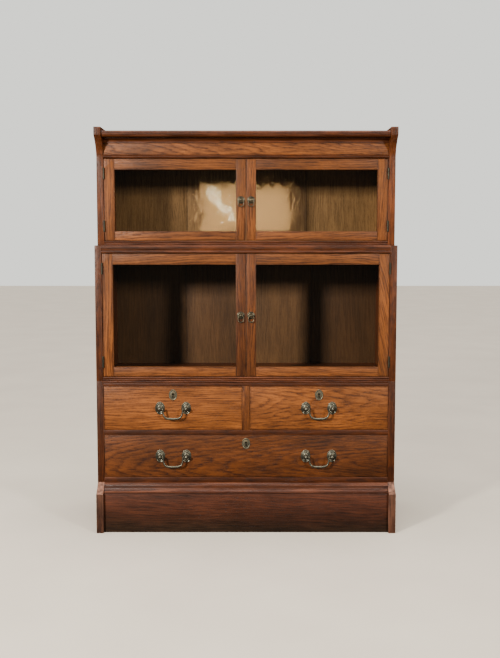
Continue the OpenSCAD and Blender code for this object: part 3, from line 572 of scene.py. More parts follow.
def smooth_path(points, steps=8):
    """A curve through the points: (x, y, z, radius)."""
    points = [Vector(p) for p in points]
    ends = [2 * points[0] - points[1]] + points + [2 * points[-1] - points[-2]]
    path = []
    for a, b, c, d in zip(ends, ends[1:], ends[2:], ends[3:]):
        for i in range(steps):
            t = i / steps
            path.append(0.5 * ((2 * b) + (c - a) * t
                               + (2 * a - 5 * b + 4 * c - d) * t * t
                               + (3 * b - a - 3 * c + d) * t ** 3))
    path.append(points[-1])
    return path


def tube(name, path, steps=16):
    """A round rod along (x, y, z, radius) points in a plane of constant Y."""
    bm = bmesh.new()
    rows = []
    side = Vector((0, 1, 0))
    for i, p in enumerate(path):
        a, b = path[max(i - 1, 0)], path[min(i + 1, len(path) - 1)]
        up = Vector((b[0] - a[0], 0, b[2] - a[2])).normalized().cross(side)
        rows.append([bm.verts.new(Vector(p[:3]) + p[3] * (
            side * math.cos(2 * math.pi * k / steps)
            + up * math.sin(2 * math.pi * k / steps))) for k in range(steps)])
    skin(bm, rows)
    return from_bmesh(name, bm)


def ball(name, centre, radius, squash=(1, 1, 1)):
    """A sphere, drawn in along the axes by squash."""
    bm = bmesh.new()
    bmesh.ops.create_uvsphere(bm, u_segments=28, v_segments=16, radius=radius)
    bmesh.ops.scale(bm, vec=squash, verts=bm.verts)
    bmesh.ops.translate(bm, vec=centre, verts=bm.verts)
    return from_bmesh(name, bm)


def joined(name, things):
    """One object made of several, each still a closed shell."""
    bm = bmesh.new()
    for thing in things:
        bm.from_mesh(thing.data)
        drop(thing)
    mesh = bpy.data.meshes.new(name)
    bm.to_mesh(mesh)
    bm.free()
    return new_object(name, mesh)


def drop(thing):
    """Deletes an object and its mesh."""
    mesh = thing.data
    bpy.data.objects.remove(thing)
    if mesh.users == 0:
        bpy.data.meshes.remove(mesh)


def baked(thing):
    """Makes the thing's modifiers into its mesh."""
    graph = bpy.context.evaluated_depsgraph_get()
    mesh = bpy.data.meshes.new_from_object(thing.evaluated_get(graph))
    thing.modifiers.clear()
    old = thing.data
    thing.data = mesh
    if old.users == 0:
        bpy.data.meshes.remove(old)


def cut(thing, cutters):
    """Takes the cutters out of the thing."""
    for cutter in cutters:
        mod = thing.modifiers.new("cut", "BOOLEAN")
        mod.operation = "DIFFERENCE"
        mod.solver = "EXACT"
        mod.object = cutter
    baked(thing)
    for cutter in cutters:
        drop(cutter)
    if not thing.data.polygons:
        raise RuntimeError(thing.name + " was cut away")


def mirrored(points, sign):
    """Points that are given on the left, turned to their side."""
    return [(sign * p[0], *p[1:]) for p in points]


def arc(y, z, ry, rz, start, stop, steps=10):
    """Part of an ellipse, from start to stop in degrees."""
    angles = (math.radians(start + (stop - start) * i / steps)
              for i in range(steps + 1))
    return [(y + ry * math.cos(a), z + rz * math.sin(a)) for a in angles]


def round_end(x, y, radius, way, steps):
    """The half circle from x - radius to x + radius, without its ends."""
    angles = (math.pi * i / steps for i in range(1, steps))
    return [(x - radius * math.cos(a), y + way * radius * math.sin(a))
            for a in angles]


def nosing(y, z, height, bulge, steps=12):
    """A rounded front edge from z up."""
    return [(y + bulge * (1 - math.cos(a)), z + height / 2 * (1 + math.sin(a)))
            for a in (math.radians(-90 + 180 * i / steps)
                      for i in range(steps + 1))]


# ---------------------------------------------------------------- finishing


def dress(thing, body, slot, nodes, material=None):
    """Gives a finished piece its material, the one for slot unless material is
    given, parents it to its body and hides its CAD nodes.
    """
    mesh = thing.data
    mesh.materials.clear()
    mesh.materials.append(MATERIALS[material or slot])
    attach(thing, body)
    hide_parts(*nodes)


def write(mesh, name, values, kind="FLOAT", domain="POINT"):
    """Writes an attribute of the mesh."""
    mesh.attributes.new(name, kind, domain).data.foreach_set(
        "vector" if kind == "FLOAT_VECTOR" else "value", values)


def wood(thing, along, body, slot, nodes, material=None, tone=None,
         flat_cut=False, slope=None):
    """Makes a board, with its grain along an axis, from its part of a log.

    A flat cut board lies over the heart and shows arches. slope is how far
    its grain strays sideways in each metre. tone runs from 0, dark, to 1.
    """
    mesh = thing.data
    rng = random.Random(zlib.crc32(thing.name.encode()))
    spots = [v.co for v in mesh.vertices]
    low = [min(p[i] for p in spots) for i in range(3)]
    high = [max(p[i] for p in spots) for i in range(3)]
    first = "XYZ".index(along)
    rest = sorted((i for i in range(3) if i != first),
                  key=lambda i: low[i] - high[i])
    middle = [(a + b) / 2 for a, b in zip(low, high)]
    reach = 0.02 if flat_cut else rng.uniform(0.09, 0.16)
    shift = (rng.uniform(0, 40), rng.choice((-1, 1)) * reach,
             rng.choice((-1, 1)) * rng.uniform(0.02, 0.05))
    if slope is None:
        slope = rng.uniform(-0.05, 0.05)
    tilt = rng.choice((-1, 1)) * 0.11 if flat_cut else 0.0
    grain, local = [], []
    for p in spots:
        run, side, depth = (p[i] - middle[i] for i in (first, *rest))
        local += [run, side, depth]
        grain += [p[first] + shift[0], side + shift[1] + slope * run,
                  depth + shift[2] + tilt * run]
    half = [(high[i] - low[i]) / 2 for i in (first, *rest)]
    write(mesh, "grain", grain, "FLOAT_VECTOR")
    write(mesh, "local", local, "FLOAT_VECTOR")
    write(mesh, "half", half * len(spots), "FLOAT_VECTOR")
    if tone is None:
        tone = rng.uniform(0.36, 0.64)
    write(mesh, "tone", [tone] * len(spots))
    # The edge faces are those not square to the board; oak lightens them for
    # wear and a painted highlight.
    square = 0.97
    write(mesh, "edge", [float(max(abs(c) for c in p.normal) <= square)
                         for p in mesh.polygons], domain="FACE")
    smooth_shade(thing, WOOD_TURN)
    dress(thing, body, slot, nodes, material)


def board(name, lo, hi, along, node, slot="case_oak", body="carcass",
          edge=None, cutters=(), **look):
    """A squared board. look is what wood() takes besides."""
    thing = block(name, lo, hi, edge)
    if cutters:
        cut(thing, cutters)
    wood(thing, along, body, slot, [node], **look)


def moulded(name, outline, node, tone, edge=0.0, cutters=()):
    """A board right across a case, with a moulding worked on its front."""
    thing = prism(name, outline, "X", -X_IN, X_IN, edge)
    if cutters:
        cut(thing, cutters)
    wood(thing, "X", "carcass", "case_oak", [node], tone=tone)


def metal(thing, body, slot, nodes, material=None, turn=METAL_TURN):
    """Makes a piece of metal or glass."""
    smooth_shade(thing, turn)
    dress(thing, body, slot, nodes, material)


def smooth_shade(thing, turn):
    """Smooths a piece, with the edges that turn by more than that sharp."""
    mesh = thing.data
    mesh.polygons.foreach_set("use_smooth", [True] * len(mesh.polygons))
    mesh.set_sharp_from_angle(angle=math.radians(turn))


# ---------------------------------------------------------------- screws

SCREWS = {}


def screw(body, slot, node, spot, facing, radius=0.0021):
    """Notes one screw head. facing is the way that it looks."""
    SCREWS.setdefault((body, slot, node), []).append((spot, facing, radius))


def screw_tree():
    """Slotted, flat-topped heads on points that carry "turn" and "size"."""
    tree = bpy.data.node_groups.new("Slotted screws", "GeometryNodeTree")
    face = tree.interface
    face.new_socket("Geometry", in_out="INPUT",
                    socket_type="NodeSocketGeometry")
    for name, value in SLOTTED_HEAD.items():
        face.new_socket(name, in_out="INPUT",
                        socket_type="NodeSocketFloat").default_value = value
    face.new_socket("Metal", in_out="INPUT",
                    socket_type="NodeSocketMaterial")
    face.new_socket("Geometry", in_out="OUTPUT",
                    socket_type="NodeSocketGeometry")

    def add(kind, **settings):
        node = tree.nodes.new(kind)
        for key, value in settings.items():
            setattr(node, key, value)
        return node

    link = tree.links.new
    given = add("NodeGroupInput")
    head = add("GeometryNodeMeshCylinder")
    head.inputs["Vertices"].default_value = 20
    head.inputs["Radius"].default_value = 1.0
    link(given.outputs["Head height"], head.inputs["Depth"])
    slot = add("GeometryNodeMeshCube")
    size = add("ShaderNodeCombineXYZ")
    size.inputs[0].default_value = 3.0
    link(given.outputs["Slot width"], size.inputs[1])
    link(given.outputs["Slot depth"], size.inputs[2])
    link(size.outputs[0], slot.inputs["Size"])
    lift = add("ShaderNodeCombineXYZ")
    half = add("ShaderNodeMath", operation="MULTIPLY")
    half.inputs[1].default_value = 0.5
    link(given.outputs["Head height"], half.inputs[0])
    link(half.outputs[0], lift.inputs[2])
    move = add("GeometryNodeTransform")
    link(slot.outputs["Mesh"], move.inputs["Geometry"])
    link(lift.outputs[0], move.inputs["Translation"])
    cutting = add("GeometryNodeMeshBoolean", operation="DIFFERENCE",
                  solver="EXACT")
    link(head.outputs["Mesh"], cutting.inputs["Mesh 1"])
    link(move.outputs[0], cutting.inputs["Mesh 2"])
    spread = add("GeometryNodeInstanceOnPoints")
    link(given.outputs["Geometry"], spread.inputs["Points"])
    link(cutting.outputs["Mesh"], spread.inputs["Instance"])
    turn = add("GeometryNodeInputNamedAttribute", data_type="FLOAT_VECTOR")
    turn.inputs["Name"].default_value = "turn"
    link(turn.outputs["Attribute"], spread.inputs["Rotation"])
    scale = add("GeometryNodeInputNamedAttribute", data_type="FLOAT")
    scale.inputs["Name"].default_value = "size"
    link(scale.outputs["Attribute"], spread.inputs["Scale"])
    real = add("GeometryNodeRealizeInstances")
    link(spread.outputs[0], real.inputs[0])
    paint = add("GeometryNodeSetMaterial")
    link(real.outputs[0], paint.inputs["Geometry"])
    link(given.outputs["Metal"], paint.inputs["Material"])
    out = add("NodeGroupOutput")
    link(paint.outputs[0], out.inputs[0])
    return tree


def set_input(mod, tree, name, value):
    """Sets a modifier's input, which goes by its socket's identifier."""
    for item in tree.interface.items_tree:
        if getattr(item, "in_out", "") == "INPUT" and item.name == name:
            mod[item.identifier] = value
            return
    raise RuntimeError("the tree has no input " + name)


# ---------------------------------------------------------------- the plinth


def plinth():
    """The cheeks, board and moulding of the plinth."""
    foot, steps = lohi("plinth_board")[1].z, 24
    for side, sign in SIDES:
        node = "plinth_cheek_" + side
        lo, hi = lohi(node)
        knee = [(Y_MAIN - (Y_MAIN - lo.y) * (i / steps) ** 1.3,
                 hi.z - (hi.z - foot) * i / steps) for i in range(steps + 1)]
        outline = [(hi.y, hi.z)] + knee + [(lo.y, 0.0), (hi.y, 0.0)]
        thing = prism("Plinth_cheek_" + side, outline, "X", lo.x, hi.x, 0.0012)
        # Painted light: the right-hand cheek is made lighter and the left
        # darker, evening out the key lamp's light from the left.
        wood(thing, "Z", "carcass", "case_oak", [node], "plinth_cheek",
             0.46 - sign * 0.08)
    lo, hi = lohi("plinth_board")
    board("Plinth_board", (-X_IN, lo.y, lo.z), (X_IN, hi.y, hi.z), "X",
          "plinth_board", material="plinth_oak", tone=0.62)
    lo, hi = lohi("plinth_moulding")
    rear, fillet, height = Y_MAIN - 0.002, 0.003, hi.z - lo.z
    run, waist = rear - lo.y, hi.z - 0.4 * height
    outline = ([(hi.y, hi.z)]
               + arc(rear, waist, -0.45 * run, 0.4 * height, 90, 0)
               + arc(lo.y, waist, 0.55 * run, -0.6 * height + fillet, 0,
                     90)[1:]
               + [(lo.y, lo.z), (hi.y, lo.z)])
    # The moulding is made dark: painted shade against the overhead lamp that
    # lights its top.
    moulded("Plinth_moulding", outline, "plinth_moulding", 0.10, 0.0005)
    plinth_frame()


def plinth_frame():
    """The rail, the bearers and the glue blocks inside the plinth."""
    rail, wide, high, glue = 0.019, 0.025, 0.030, 0.022
    node = "plinth_frame"
    front = lohi("plinth_board")[1]
    top = lohi("plinth_cheek_left")[1].z
    rear = Y_BACK - rail
    board("Plinth_back_rail", (-X_IN, rear - rail, 0.0), (X_IN, rear, top),
          "X", node, "lining_wood")
    for side, sign in SIDES:
        x0, x1 = sorted((-sign * X_IN, -sign * (X_IN - wide)))
        board("Plinth_bearer_" + side, (x0, front.y + glue, top - high),
              (x1, rear - rail, top), "Y", node, "lining_wood")
        for end, y, reach, rise in (
                ("front", front.y, glue, front.z),
                ("rear", rear - rail, -glue, top - high)):
            outline = mirrored([(-X_IN, y), (-X_IN + glue, y),
                                (-X_IN, y + reach)], sign)
            thing = prism(f"Plinth_glue_block_{end}_{side}", outline, "Z",
                          0.0, rise)
            wood(thing, "Z", "carcass", "lining_wood", [node])


# ---------------------------------------------------------------- the cases


def leaf_spots(case):
    """(x, y, z) of each hinge's pin on the left of a case."""
    lo, hi = lohi(f"door_{case}_left_frame")
    return [(-X_IN + (lo.x + X_IN) / 2, FRONT[case] - 0.001, z)
            for z in (lo.z + HINGE_INSET, hi.z - HINGE_INSET)]


def knuckle_cutters(case, sign):
    """Room for a door's hinge knuckles in its stile and in the case."""
    room = 0.0003
    return [drill((sign * x, y, z), KNUCKLE + room, -HINGE_HALF - room,
                  HINGE_HALF + room, "Z") for x, y, z in leaf_spots(case)]


def leaf_cutters(case, sign):
    """Room for a door's hinge leaves in the edge of its stile."""
    boxes = []
    for x, y, z in leaf_spots(case):
        x0, x1 = sorted((sign * (x - 0.001), sign * (x + 0.00120)))
        boxes.append(block("cutter", (x0, y - 0.002, z - HINGE_HALF - 0.00005),
                           (x1, y + 0.01405, z + HINGE_HALF + 0.00005), 0.0))
    return boxes


def side_board(name, sign, low, high):
    """A straight side with a rebate at its back for the panel."""
    outline = mirrored([
        (-X_OUT, Y_MAIN), (-X_IN, Y_MAIN), (-X_IN, Y_PANEL),
        (-X_IN - PANEL_LAP, Y_PANEL), (-X_IN - PANEL_LAP, Y_BACK),
        (-X_OUT, Y_BACK)], sign)
    return prism(name, outline, "Z", low, high, 0.0013)


def reeded(name, node, y):
    """A bottom board with two reeds along its front."""
    lo, hi = lohi(node)
    quirk = 0.001
    reed = (hi.z - lo.z) / 2 - quirk / 2
    outline = ([(Y_PANEL, hi.z), (Y_PANEL, lo.z)]
               + nosing(y, lo.z, reed, REED_BULGE)
               + nosing(y, hi.z - reed, reed, REED_BULGE))
    moulded(name, outline, node, 0.5)


def drawer_case():
    """The sides, top and bottom round the drawers."""
    for side, sign in SIDES:
        node = "drawer_case_side_" + side
        lo, hi = lohi(node)
        thing = side_board("Drawer_case_side_" + side, sign, lo.z, hi.z)
        # Painted light: the right-hand side is made lighter and the left
        # darker, evening out the key lamp's light from the left.
        wood(thing, "Z", "carcass", "case_oak", [node],
             tone=0.46 - sign * 0.14)
    lo, hi = lohi("drawer_case_top")
    bead, quirk = 0.005, 0.001
    outline = ([(Y_PANEL, hi.z), (Y_PANEL, lo.z), (Y_MAIN + quirk, lo.z),
                (Y_MAIN + quirk, hi.z - 0.006),
                (Y_MAIN + REED_BULGE, hi.z - 0.006)]
               + nosing(Y_MAIN, hi.z - bead, bead, REED_BULGE))
    moulded("Drawer_case_top", outline, "drawer_case_top", 0.42, 0.0004,
            [lock_mortise("left"), lock_mortise("right")])
    lo, hi = lohi("drawer_case_bottom")
    board("Drawer_case_bottom", (-X_IN, Y_MAIN, lo.z), (X_IN, Y_PANEL, hi.z),
          "X", "drawer_case_bottom", tone=0.38)
    drawer_dividers()
    dowels()


def drawer_dividers():
    """The rail and upright between the drawers, and what guides them."""
    lo, hi = lohi("drawer_left_front")
    low = lohi("drawer_long_front")[1].z + DRAWER_GAP
    high, half = lo.z - DRAWER_GAP, -hi.x - DRAWER_GAP
    rear = Y_MAIN + RAIL_DEEP
    board("Rail_between_drawers", (-X_IN, Y_MAIN, low), (X_IN, rear, high),
          "X", "drawer_dividers", cutters=[lock_mortise("long")], tone=0.40)
    board("Upright_between_drawers", (-half, Y_MAIN, high),
          (half, rear, lohi("drawer_case_top")[0].z), "Z", "drawer_dividers",
          material="door_oak", tone=0.66)
    node, wide = "drawer_runners", 0.04
    for name, x0, x1 in (("left", -X_IN, -X_IN + wide),
                         ("middle", -wide, wide),
                         ("right", X_IN - wide, X_IN)):
        board("Drawer_runner_" + name, (x0, rear, low), (x1, Y_PANEL, high),
              "Y", node, "lining_wood")
    board("Drawer_guide", (-half, rear, high), (half, Y_PANEL, high + 0.012),
          "Y", node, "lining_wood")
    centre, floor = (lo.x + hi.x) / 2, lohi("drawer_case_bottom")[1].z
    spots = [(s * centre + d, high) for s in (-1, 1) for d in (-0.09, 0.09)]
    spots += [(s * centre, floor) for s in (-1, 1)]
    for i, (x, z) in enumerate(spots):
        board(f"Drawer_stop_{i + 1}", (x - 0.015, hi.y, z),
              (x + 0.015, hi.y + 0.012, z + 0.005), "X", node, "lining_wood",
              edge=0.0006)


def dowels():
    """The pins that hold each case in its place on the one below."""
    radius, from_front, from_back = 0.003, 0.034, 0.040
    x = lohi("locating_dowels")[1].x - radius
    floors = [lohi(node)[0].z for node in
              ("drawer_case_side_left", "middle_case_side_left",
               "upper_cheek_left")]
    spots = [(s * x, y, z) for s in (-1, 1) for z in floors[:2]
             for y in (Y_MAIN + from_front, Y_BACK - from_back)]
    spots += [(s * x, y, floors[2]) for s in (-1, 1)
              for y in (Y_UP + from_front, Y_BACK - from_back)]
    profile = [(0.0026, -0.010), (radius, -0.0092), (radius, 0.0092),
               (0.0026, 0.010)]
    thing = joined("Locating_dowels", [
        lathe("dowel", profile, spot, "Z", steps=20) for spot in spots])
    wood(thing, "Z", "carcass", "lining_wood", ["locating_dowels"])


def bolt_hole(case):
    """The hole over a left door that its bolt shoots into."""
    lo, hi = lohi(f"door_{case}_left_bolt")
    y = lohi(f"door_{case}_left_frame")[1].y + BOLT_OUT
    return drill(((lo.x + hi.x) / 2, y, 0), 0.0022, hi.z - 0.01,
                 hi.z + 0.0095, "Z")


def lock_mortise(drawer):
    """Room in the wood over a drawer for the bolt of its lock."""
    lo, hi = lohi(f"drawer_{drawer}_lock_bolt")
    grow = Vector((0.0005, 0.0005, 0.0))
    return block("cutter", lo - grow, hi + grow + Vector((0, 0, 0.010)), 0.0)


def door_stops(case, node):
    """Two blocks under the board over a pair of doors, just behind them."""
    leaf_top = lohi(f"door_{case}_left_frame")[1]
    y, high = leaf_top.y, leaf_top.z + DOOR_GAP
    for side, sign in SIDES:
        x0, x1 = sorted((-sign * 0.04, -sign * 0.08))
        board(f"Door_stop_{case}_{side}", (x0, y, high - 0.012),
              (x1, y + 0.010, high), "X", node, edge=0.0008)


def middle_case():
    """The sides, bottom and top round the taller pair of doors."""
    for side, sign in SIDES:
        node = "middle_case_side_" + side
        lo, hi = lohi(node)
        thing = side_board("Middle_case_side_" + side, sign, lo.z, hi.z)
        cut(thing, knuckle_cutters("middle", sign))
        # Painted light: the right-hand side is made lighter and the left
        # darker, evening out the key lamp's light from the left.
        wood(thing, "Z", "carcass", "case_oak", [node],
             tone=0.70 - sign * 0.10)
    reeded("Middle_case_bottom", "middle_case_bottom", Y_MAIN)
    node = "middle_case_top"
    high = lohi(node)[1].z
    low = lohi("door_middle_left_frame")[1].z + DOOR_GAP
    bead, quirk = 0.007, 0.009
    outline = ([(Y_PANEL, high), (Y_PANEL, low)]
               + nosing(Y_MAIN, low, bead, REED_BULGE)
               + nosing(Y_MAIN, low + quirk, high - low - quirk, REED_BULGE))
    moulded("Middle_case_top", outline, node, 0.55,
            cutters=[bolt_hole("middle")])
    door_stops("middle", node)


def upper_case():
    """The cheeks, bottom and top round the upper doors, and the cornice."""
    for side, sign in SIDES:
        upper_cheek(side, sign)
    reeded("Upper_case_bottom", "upper_case_bottom", Y_UP)
    node = "upper_case_top"
    high = lohi(node)[1].z
    low = lohi("door_upper_left_frame")[1].z + DOOR_GAP
    outline = ([(Y_PANEL, high), (Y_PANEL, low), (Y_UP + REED_BULGE, low)]
               + nosing(Y_UP - REED_BULGE, low + 0.001, high - low - 0.002,
                        REED_BULGE)
               + [(Y_UP + REED_BULGE, high)])
    moulded("Upper_case_top", outline, node, 0.46,
            cutters=[bolt_hole("upper")])
    door_stops("upper", node)
    cornice(high)


def upper_cheek(side, sign):
    """A side that sweeps forward in an ear and rises past the cap."""
    node = "upper_cheek_" + side
    low, top = (corner.z for corner in lohi(node))
    ear_foot, sweep, corner, steps = 0.023, 0.060, 0.003, 28
    ear = [(Y_UP - (Y_UP - Y_EAR) * (1 - i / steps) ** 2,
            top - ear_foot - sweep * i / steps) for i in range(steps + 1)]
    outline = ([(Y_BACK, top), (Y_EAR + corner, top),
                (Y_EAR + 0.0009, top - 0.0009), (Y_EAR, top - corner)]
               + ear + [(Y_UP, low), (Y_BACK, low)])
    x0, x1 = sorted((-sign * X_IN, -sign * X_OUT))
    thing = prism("Upper_cheek_" + side, outline, "X", x0, x1, 0.0012)
    x0, x1 = sorted((-sign * (X_IN - 0.001), -sign * (X_IN + PANEL_LAP)))
    rebate = block("cutter", (x0, Y_PANEL, low - 0.001),
                   (x1, Y_BACK + 0.001, lohi("cornice_cap")[0].z), 0.0)
    cut(thing, [rebate] + knuckle_cutters("upper", sign))
    wood(thing, "Z", "carcass", "case_oak", [node], tone=0.72)


def cornice(low):
    """The cap, the frieze under it from low up, and the cove between."""
    lo, hi = lohi("cornice_cap")
    outline = ([(Y_BACK, hi.z), (Y_BACK, lo.z)]
               + nosing(lo.y, lo.z, hi.z - lo.z, 0.006, 16))
    moulded("Cornice_cap", outline, "cornice_cap", 0.44)
    face, thick = Y_UP + 0.0015, 0.019
    board("Frieze_board", (-X_IN, face, low), (X_IN, face + thick, lo.z), "X",
          "frieze", material="door_oak", tone=0.60, flat_cut=True)
    foot, reach, fillet = lo.z - 0.015, 0.020, 0.004
    outline = ([(face, lo.z), (face, foot), (face - fillet, foot)]
               + arc(face - reach, foot + 0.003, 0.016, 0.009, 0, 90)
               + [(face - reach, lo.z)])
    moulded("Cornice_cove", outline, "frieze", 0.40, 0.0004)


def back_panels():
    """Four boards, edge to edge, behind each case."""
    gap, clearance = 0.00005, 0.0004
    lo, hi = lohi("back_panels")
    levels = [lohi(node)[0].z for node in
              ("drawer_case_side_left", "middle_case_side_left",
               "upper_cheek_left", "cornice_cap")]
    # The middle case's boards are made darker than the others: painted shade
    # for the dimmer light inside that deeper case.
    for case, shade_darkening, low, high in zip(("drawer", "middle", "upper"),
                                      (0.0, 0.50, 0.0), levels, levels[1:]):
        rng = random.Random(case)
        joints = [lo.x, *(lo.x + (hi.x - lo.x) * (i / 4
                          + rng.uniform(-0.03, 0.03)) for i in (1, 2, 3)),
                  hi.x]
        for i, (x0, x1) in enumerate(zip(joints, joints[1:])):
            board(f"Back_board_{case}_{i + 1}",
                  (x0 + gap, lo.y, low + clearance),
                  (x1 - gap, hi.y, high - clearance), "Z", "back_panels",
                  "panel_wood", edge=0.0002,
                  tone=rng.uniform(0.44, 0.56) - shade_darkening)


# ---------------------------------------------------------------- the doors


def mitred(name, x0, x1, z0, z1, y0, y1, edge, width):
    """One glazing bead of a frame, rounded on its inner corner."""
    corners = {"bottom": [(x0, z0), (x1, z0), (x1 - width, z0 + width),
                          (x0 + width, z0 + width)],
               "top": [(x0, z1), (x1, z1), (x1 - width, z1 - width),
                       (x0 + width, z1 - width)],
               "left": [(x0, z0), (x0, z1), (x0 + width, z1 - width),
                        (x0 + width, z0 + width)],
               "right": [(x1, z0), (x1, z1), (x1 - width, z1 - width),
                         (x1 - width, z0 + width)]}[edge]
    return prism(name, corners, "Y", y0, y1, 0.0007)


def doors():
    """A pair of glazed doors to each of the two cases."""
    for case in CASES:
        for side, sign in SIDES:
            door(case, side, sign)


def door(case, side, sign):
    """A door's stiles and rails, its glazing beads and its pane."""
    s = sizes()
    body = f"door_{case}_{side}"
    lo, hi = lohi(f"door_{case}_left_frame")
    outer, inner = lo.x + s.hinge_stile, hi.x - s.meeting_stile
    r0, r1 = sorted((sign * (outer - s.rebate), sign * (inner + s.rebate)))
    foot, head = lo.z + s.bottom_rail, hi.z - s.top_rail

    def part(name, a, b, z0, z1, along, tone, slope=None):
        x0, x1 = sorted((sign * a, sign * b))
        cutters = [block("cutter", (r0, lo.y + s.lip, foot - s.rebate),
                         (r1, hi.y + 0.001, head + s.rebate), 0.0)]
        if name == "Hinge_stile":
            cutters += knuckle_cutters(case, sign) + leaf_cutters(case, sign)
        if name == "Meeting_stile":
            x = sign * (hi.x - s.meeting_stile / 2)
            cutters.append(drill((x, 0, (lo.z + hi.z) / 2), PULL_HOLE,
                                 lo.y - 0.001, hi.y + 0.001))
        board(f"{name}_{case}_{side}", (x0, lo.y, z0), (x1, hi.y, z1), along,
              body + "_frame", "door_oak", body, cutters=cutters, tone=tone,
              slope=slope)

    rng = random.Random(body)
    slant = body == "door_middle_right"
    part("Hinge_stile", lo.x, outer, lo.z, hi.z, "Z",
         rng.uniform(0.45, 0.6) + 0.12 * slant, 0.26 if slant else None)
    part("Meeting_stile", inner, hi.x, lo.z, hi.z, "Z",
         rng.uniform(0.50, 0.62) if case == "upper" else
         rng.uniform(0.14, 0.24))
    part("Top_rail", outer, inner, head, hi.z, "X", rng.uniform(0.4, 0.55))
    part("Bottom_rail", outer, inner, lo.z, foot, "X",
         rng.uniform(0.45, 0.6))
    for edge, along in (("bottom", "X"), ("top", "X"), ("left", "Z"),
                        ("right", "Z")):
        thing = mitred(f"Glazing_bead_{edge}_{case}_{side}", r0, r1,
                       foot - s.rebate, head + s.rebate,
                       lo.y + s.lip + s.glass, hi.y, edge, s.rebate)
        wood(thing, along, body, "door_oak", [body + "_frame"], tone=0.4)
    thing = block(f"Pane_{case}_{side}", *lohi(body + "_glass"), 0.0002)
    metal(thing, body, "glass", [body + "_glass"], turn=GLASS_TURN)


def leaf(name, case, side, sign, which):
    """One leaf of each of a door's hinges: which is "door" or "case"."""
    body = f"door_{case}_{side}" if which == "door" else "carcass"
    node = body + "_brassware" if which == "door" else "case_hinges"
    things = []
    way = sign if which == "door" else -sign
    for x, y, z in leaf_spots(case):
        x *= sign
        third = 2 * HINGE_HALF / 3
        ends = ([(-third / 2 + 0.0001, third / 2 - 0.0001)]
                if which == "door" else
                [(-HINGE_HALF, -third / 2), (third / 2, HINGE_HALF)])
        x0, x1 = sorted((x + way * 0.00005, x + way * 0.00115))
        things.append(block("plate", (x0, y + 0.003, z - HINGE_HALF),
                            (x1, y + 0.014, z + HINGE_HALF), 0.0002))
        for low, high in ends:
            things.append(block("strap", (x0, y, z + low),
                                (x1, y + 0.0032, z + high), 0.0001))
            things.append(lathe("knuckle", [
                (KNUCKLE - 0.0003, low), (KNUCKLE, low + 0.0003),
                (KNUCKLE, high - 0.0003), (KNUCKLE - 0.0003, high)],
                (x, y, z), "Z", steps=28))
        if which == "case":
            for end in (-1, 1):
                things.append(lathe("pin", [
                    (0.0016, end * (HINGE_HALF - 0.0004)),
                    (0.0016, end * (HINGE_HALF + 0.0002)),
                    (0.0010, end * (HINGE_HALF + 0.0008)),
                    (0.0002, end * (HINGE_HALF + 0.0010))],
                    (x, y, z), "Z", steps=20))
        for rise in (-0.0107, 0.0, 0.0107):
            screw(body, "light_brass", node,
                  (x + way * 0.00008, y + 0.0085, z + rise),
                  (-way, 0, 0), 0.0021)
    thing = joined(name, things)
    metal(thing, body, "light_brass", [node], "hinge_brass")


def hinges():
    """Two butt hinges to each door, as the door's leaves and the case's."""
    for case in CASES:
        for side, sign in SIDES:
            leaf(f"Hinge_leaves_door_{case}_{side}", case, side, sign, "door")
            leaf(f"Hinge_leaves_case_{case}_{side}", case, side, sign, "case")


# ---------------------------------------------------------------- ring pulls


def ring_pulls():
    """A plate, a post and a drop ring on each door's meeting stile."""
    for case in CASES:
        lo, hi = lohi(f"door_{case}_left_frame")
        for side, sign in SIDES:
            door_body = f"door_{case}_{side}"
            spot = Vector((sign * (hi.x - sizes().meeting_stile / 2), lo.y,
                           (lo.z + hi.z) / 2))
            profile = [(PULL_HOLE, 0.0), (0.0110, 0.0),
                       (0.0110, -0.0005), (0.0106, -0.0011),
                       (0.0099, -0.0013), (0.0093, -0.0009),
                       (0.0086, -0.0009), (0.0078, -0.0015),
                       (0.0066, -0.0018), (0.0050, -0.0018),
                       (0.0036, -0.0015), (PULL_HOLE, -0.0014)]
            thing = lathe(f"Pull_plate_{case}_{side}", profile, spot,
                          pierced=True)
            metal(thing, door_body, "light_brass", [door_body + "_brassware"])
            pull_post(f"Pull_post_{case}_{side}", door_body, spot,
                      hi.y - lo.y, turning=side == "right")
            drop_ring(f"Drop_ring_{case}_{side}", door_body + "_ring", spot)


def pull_post(name, door_body, spot, depth, turning):
    """The post that a ring hangs from. A turning one works a catch."""
    owner = door_body + "_catch" if turning else door_body
    node = door_body + ("_catch" if turning else "_brassware")
    post = [(0.0012, -0.0098), (0.0026, -0.0094), (0.0034, -0.0084),
            (0.0035, -0.0070), (0.0033, -0.0052), (0.0027, -0.0040),
            (0.0030, -0.0034), (0.0034, -0.0026), (0.0034, -0.0020),
            (0.0029, -0.0019)]
    if turning:
        post += [(0.0029, depth + 0.0008), (0.0060, depth + 0.0008),
                 (0.0060, depth + 0.0028), (0.0040, depth + 0.0033),
                 (0.0010, depth + 0.0034)]
    else:
        post += [(0.0029, depth), (0.0060, depth), (0.0060, depth + 0.0016),
                 (0.0050, depth + 0.0020), (0.0010, depth + 0.0021)]
    things = [lathe("post", post, spot, steps=32)]
    if turning:
        x, y, z = spot
        half, arm, bend = 0.0045, 0.017, 0.0175
        outline = ([(x - half, z), (x - half, z - arm)]
                   + round_end(x, z - bend, half, -1, 10)
                   + [(x + half, z - arm), (x + half, z)])
        things.append(prism("cam", outline, "Y", y + depth + 0.0009,
                            y + depth + 0.0032, 0.0003))
    thing = joined(name, things)
    cut(thing, [drill(spot + PULL_PIN, 0.00128, -0.005, 0.005, "X", 20)])
    metal(thing, owner, "light_brass", [node])


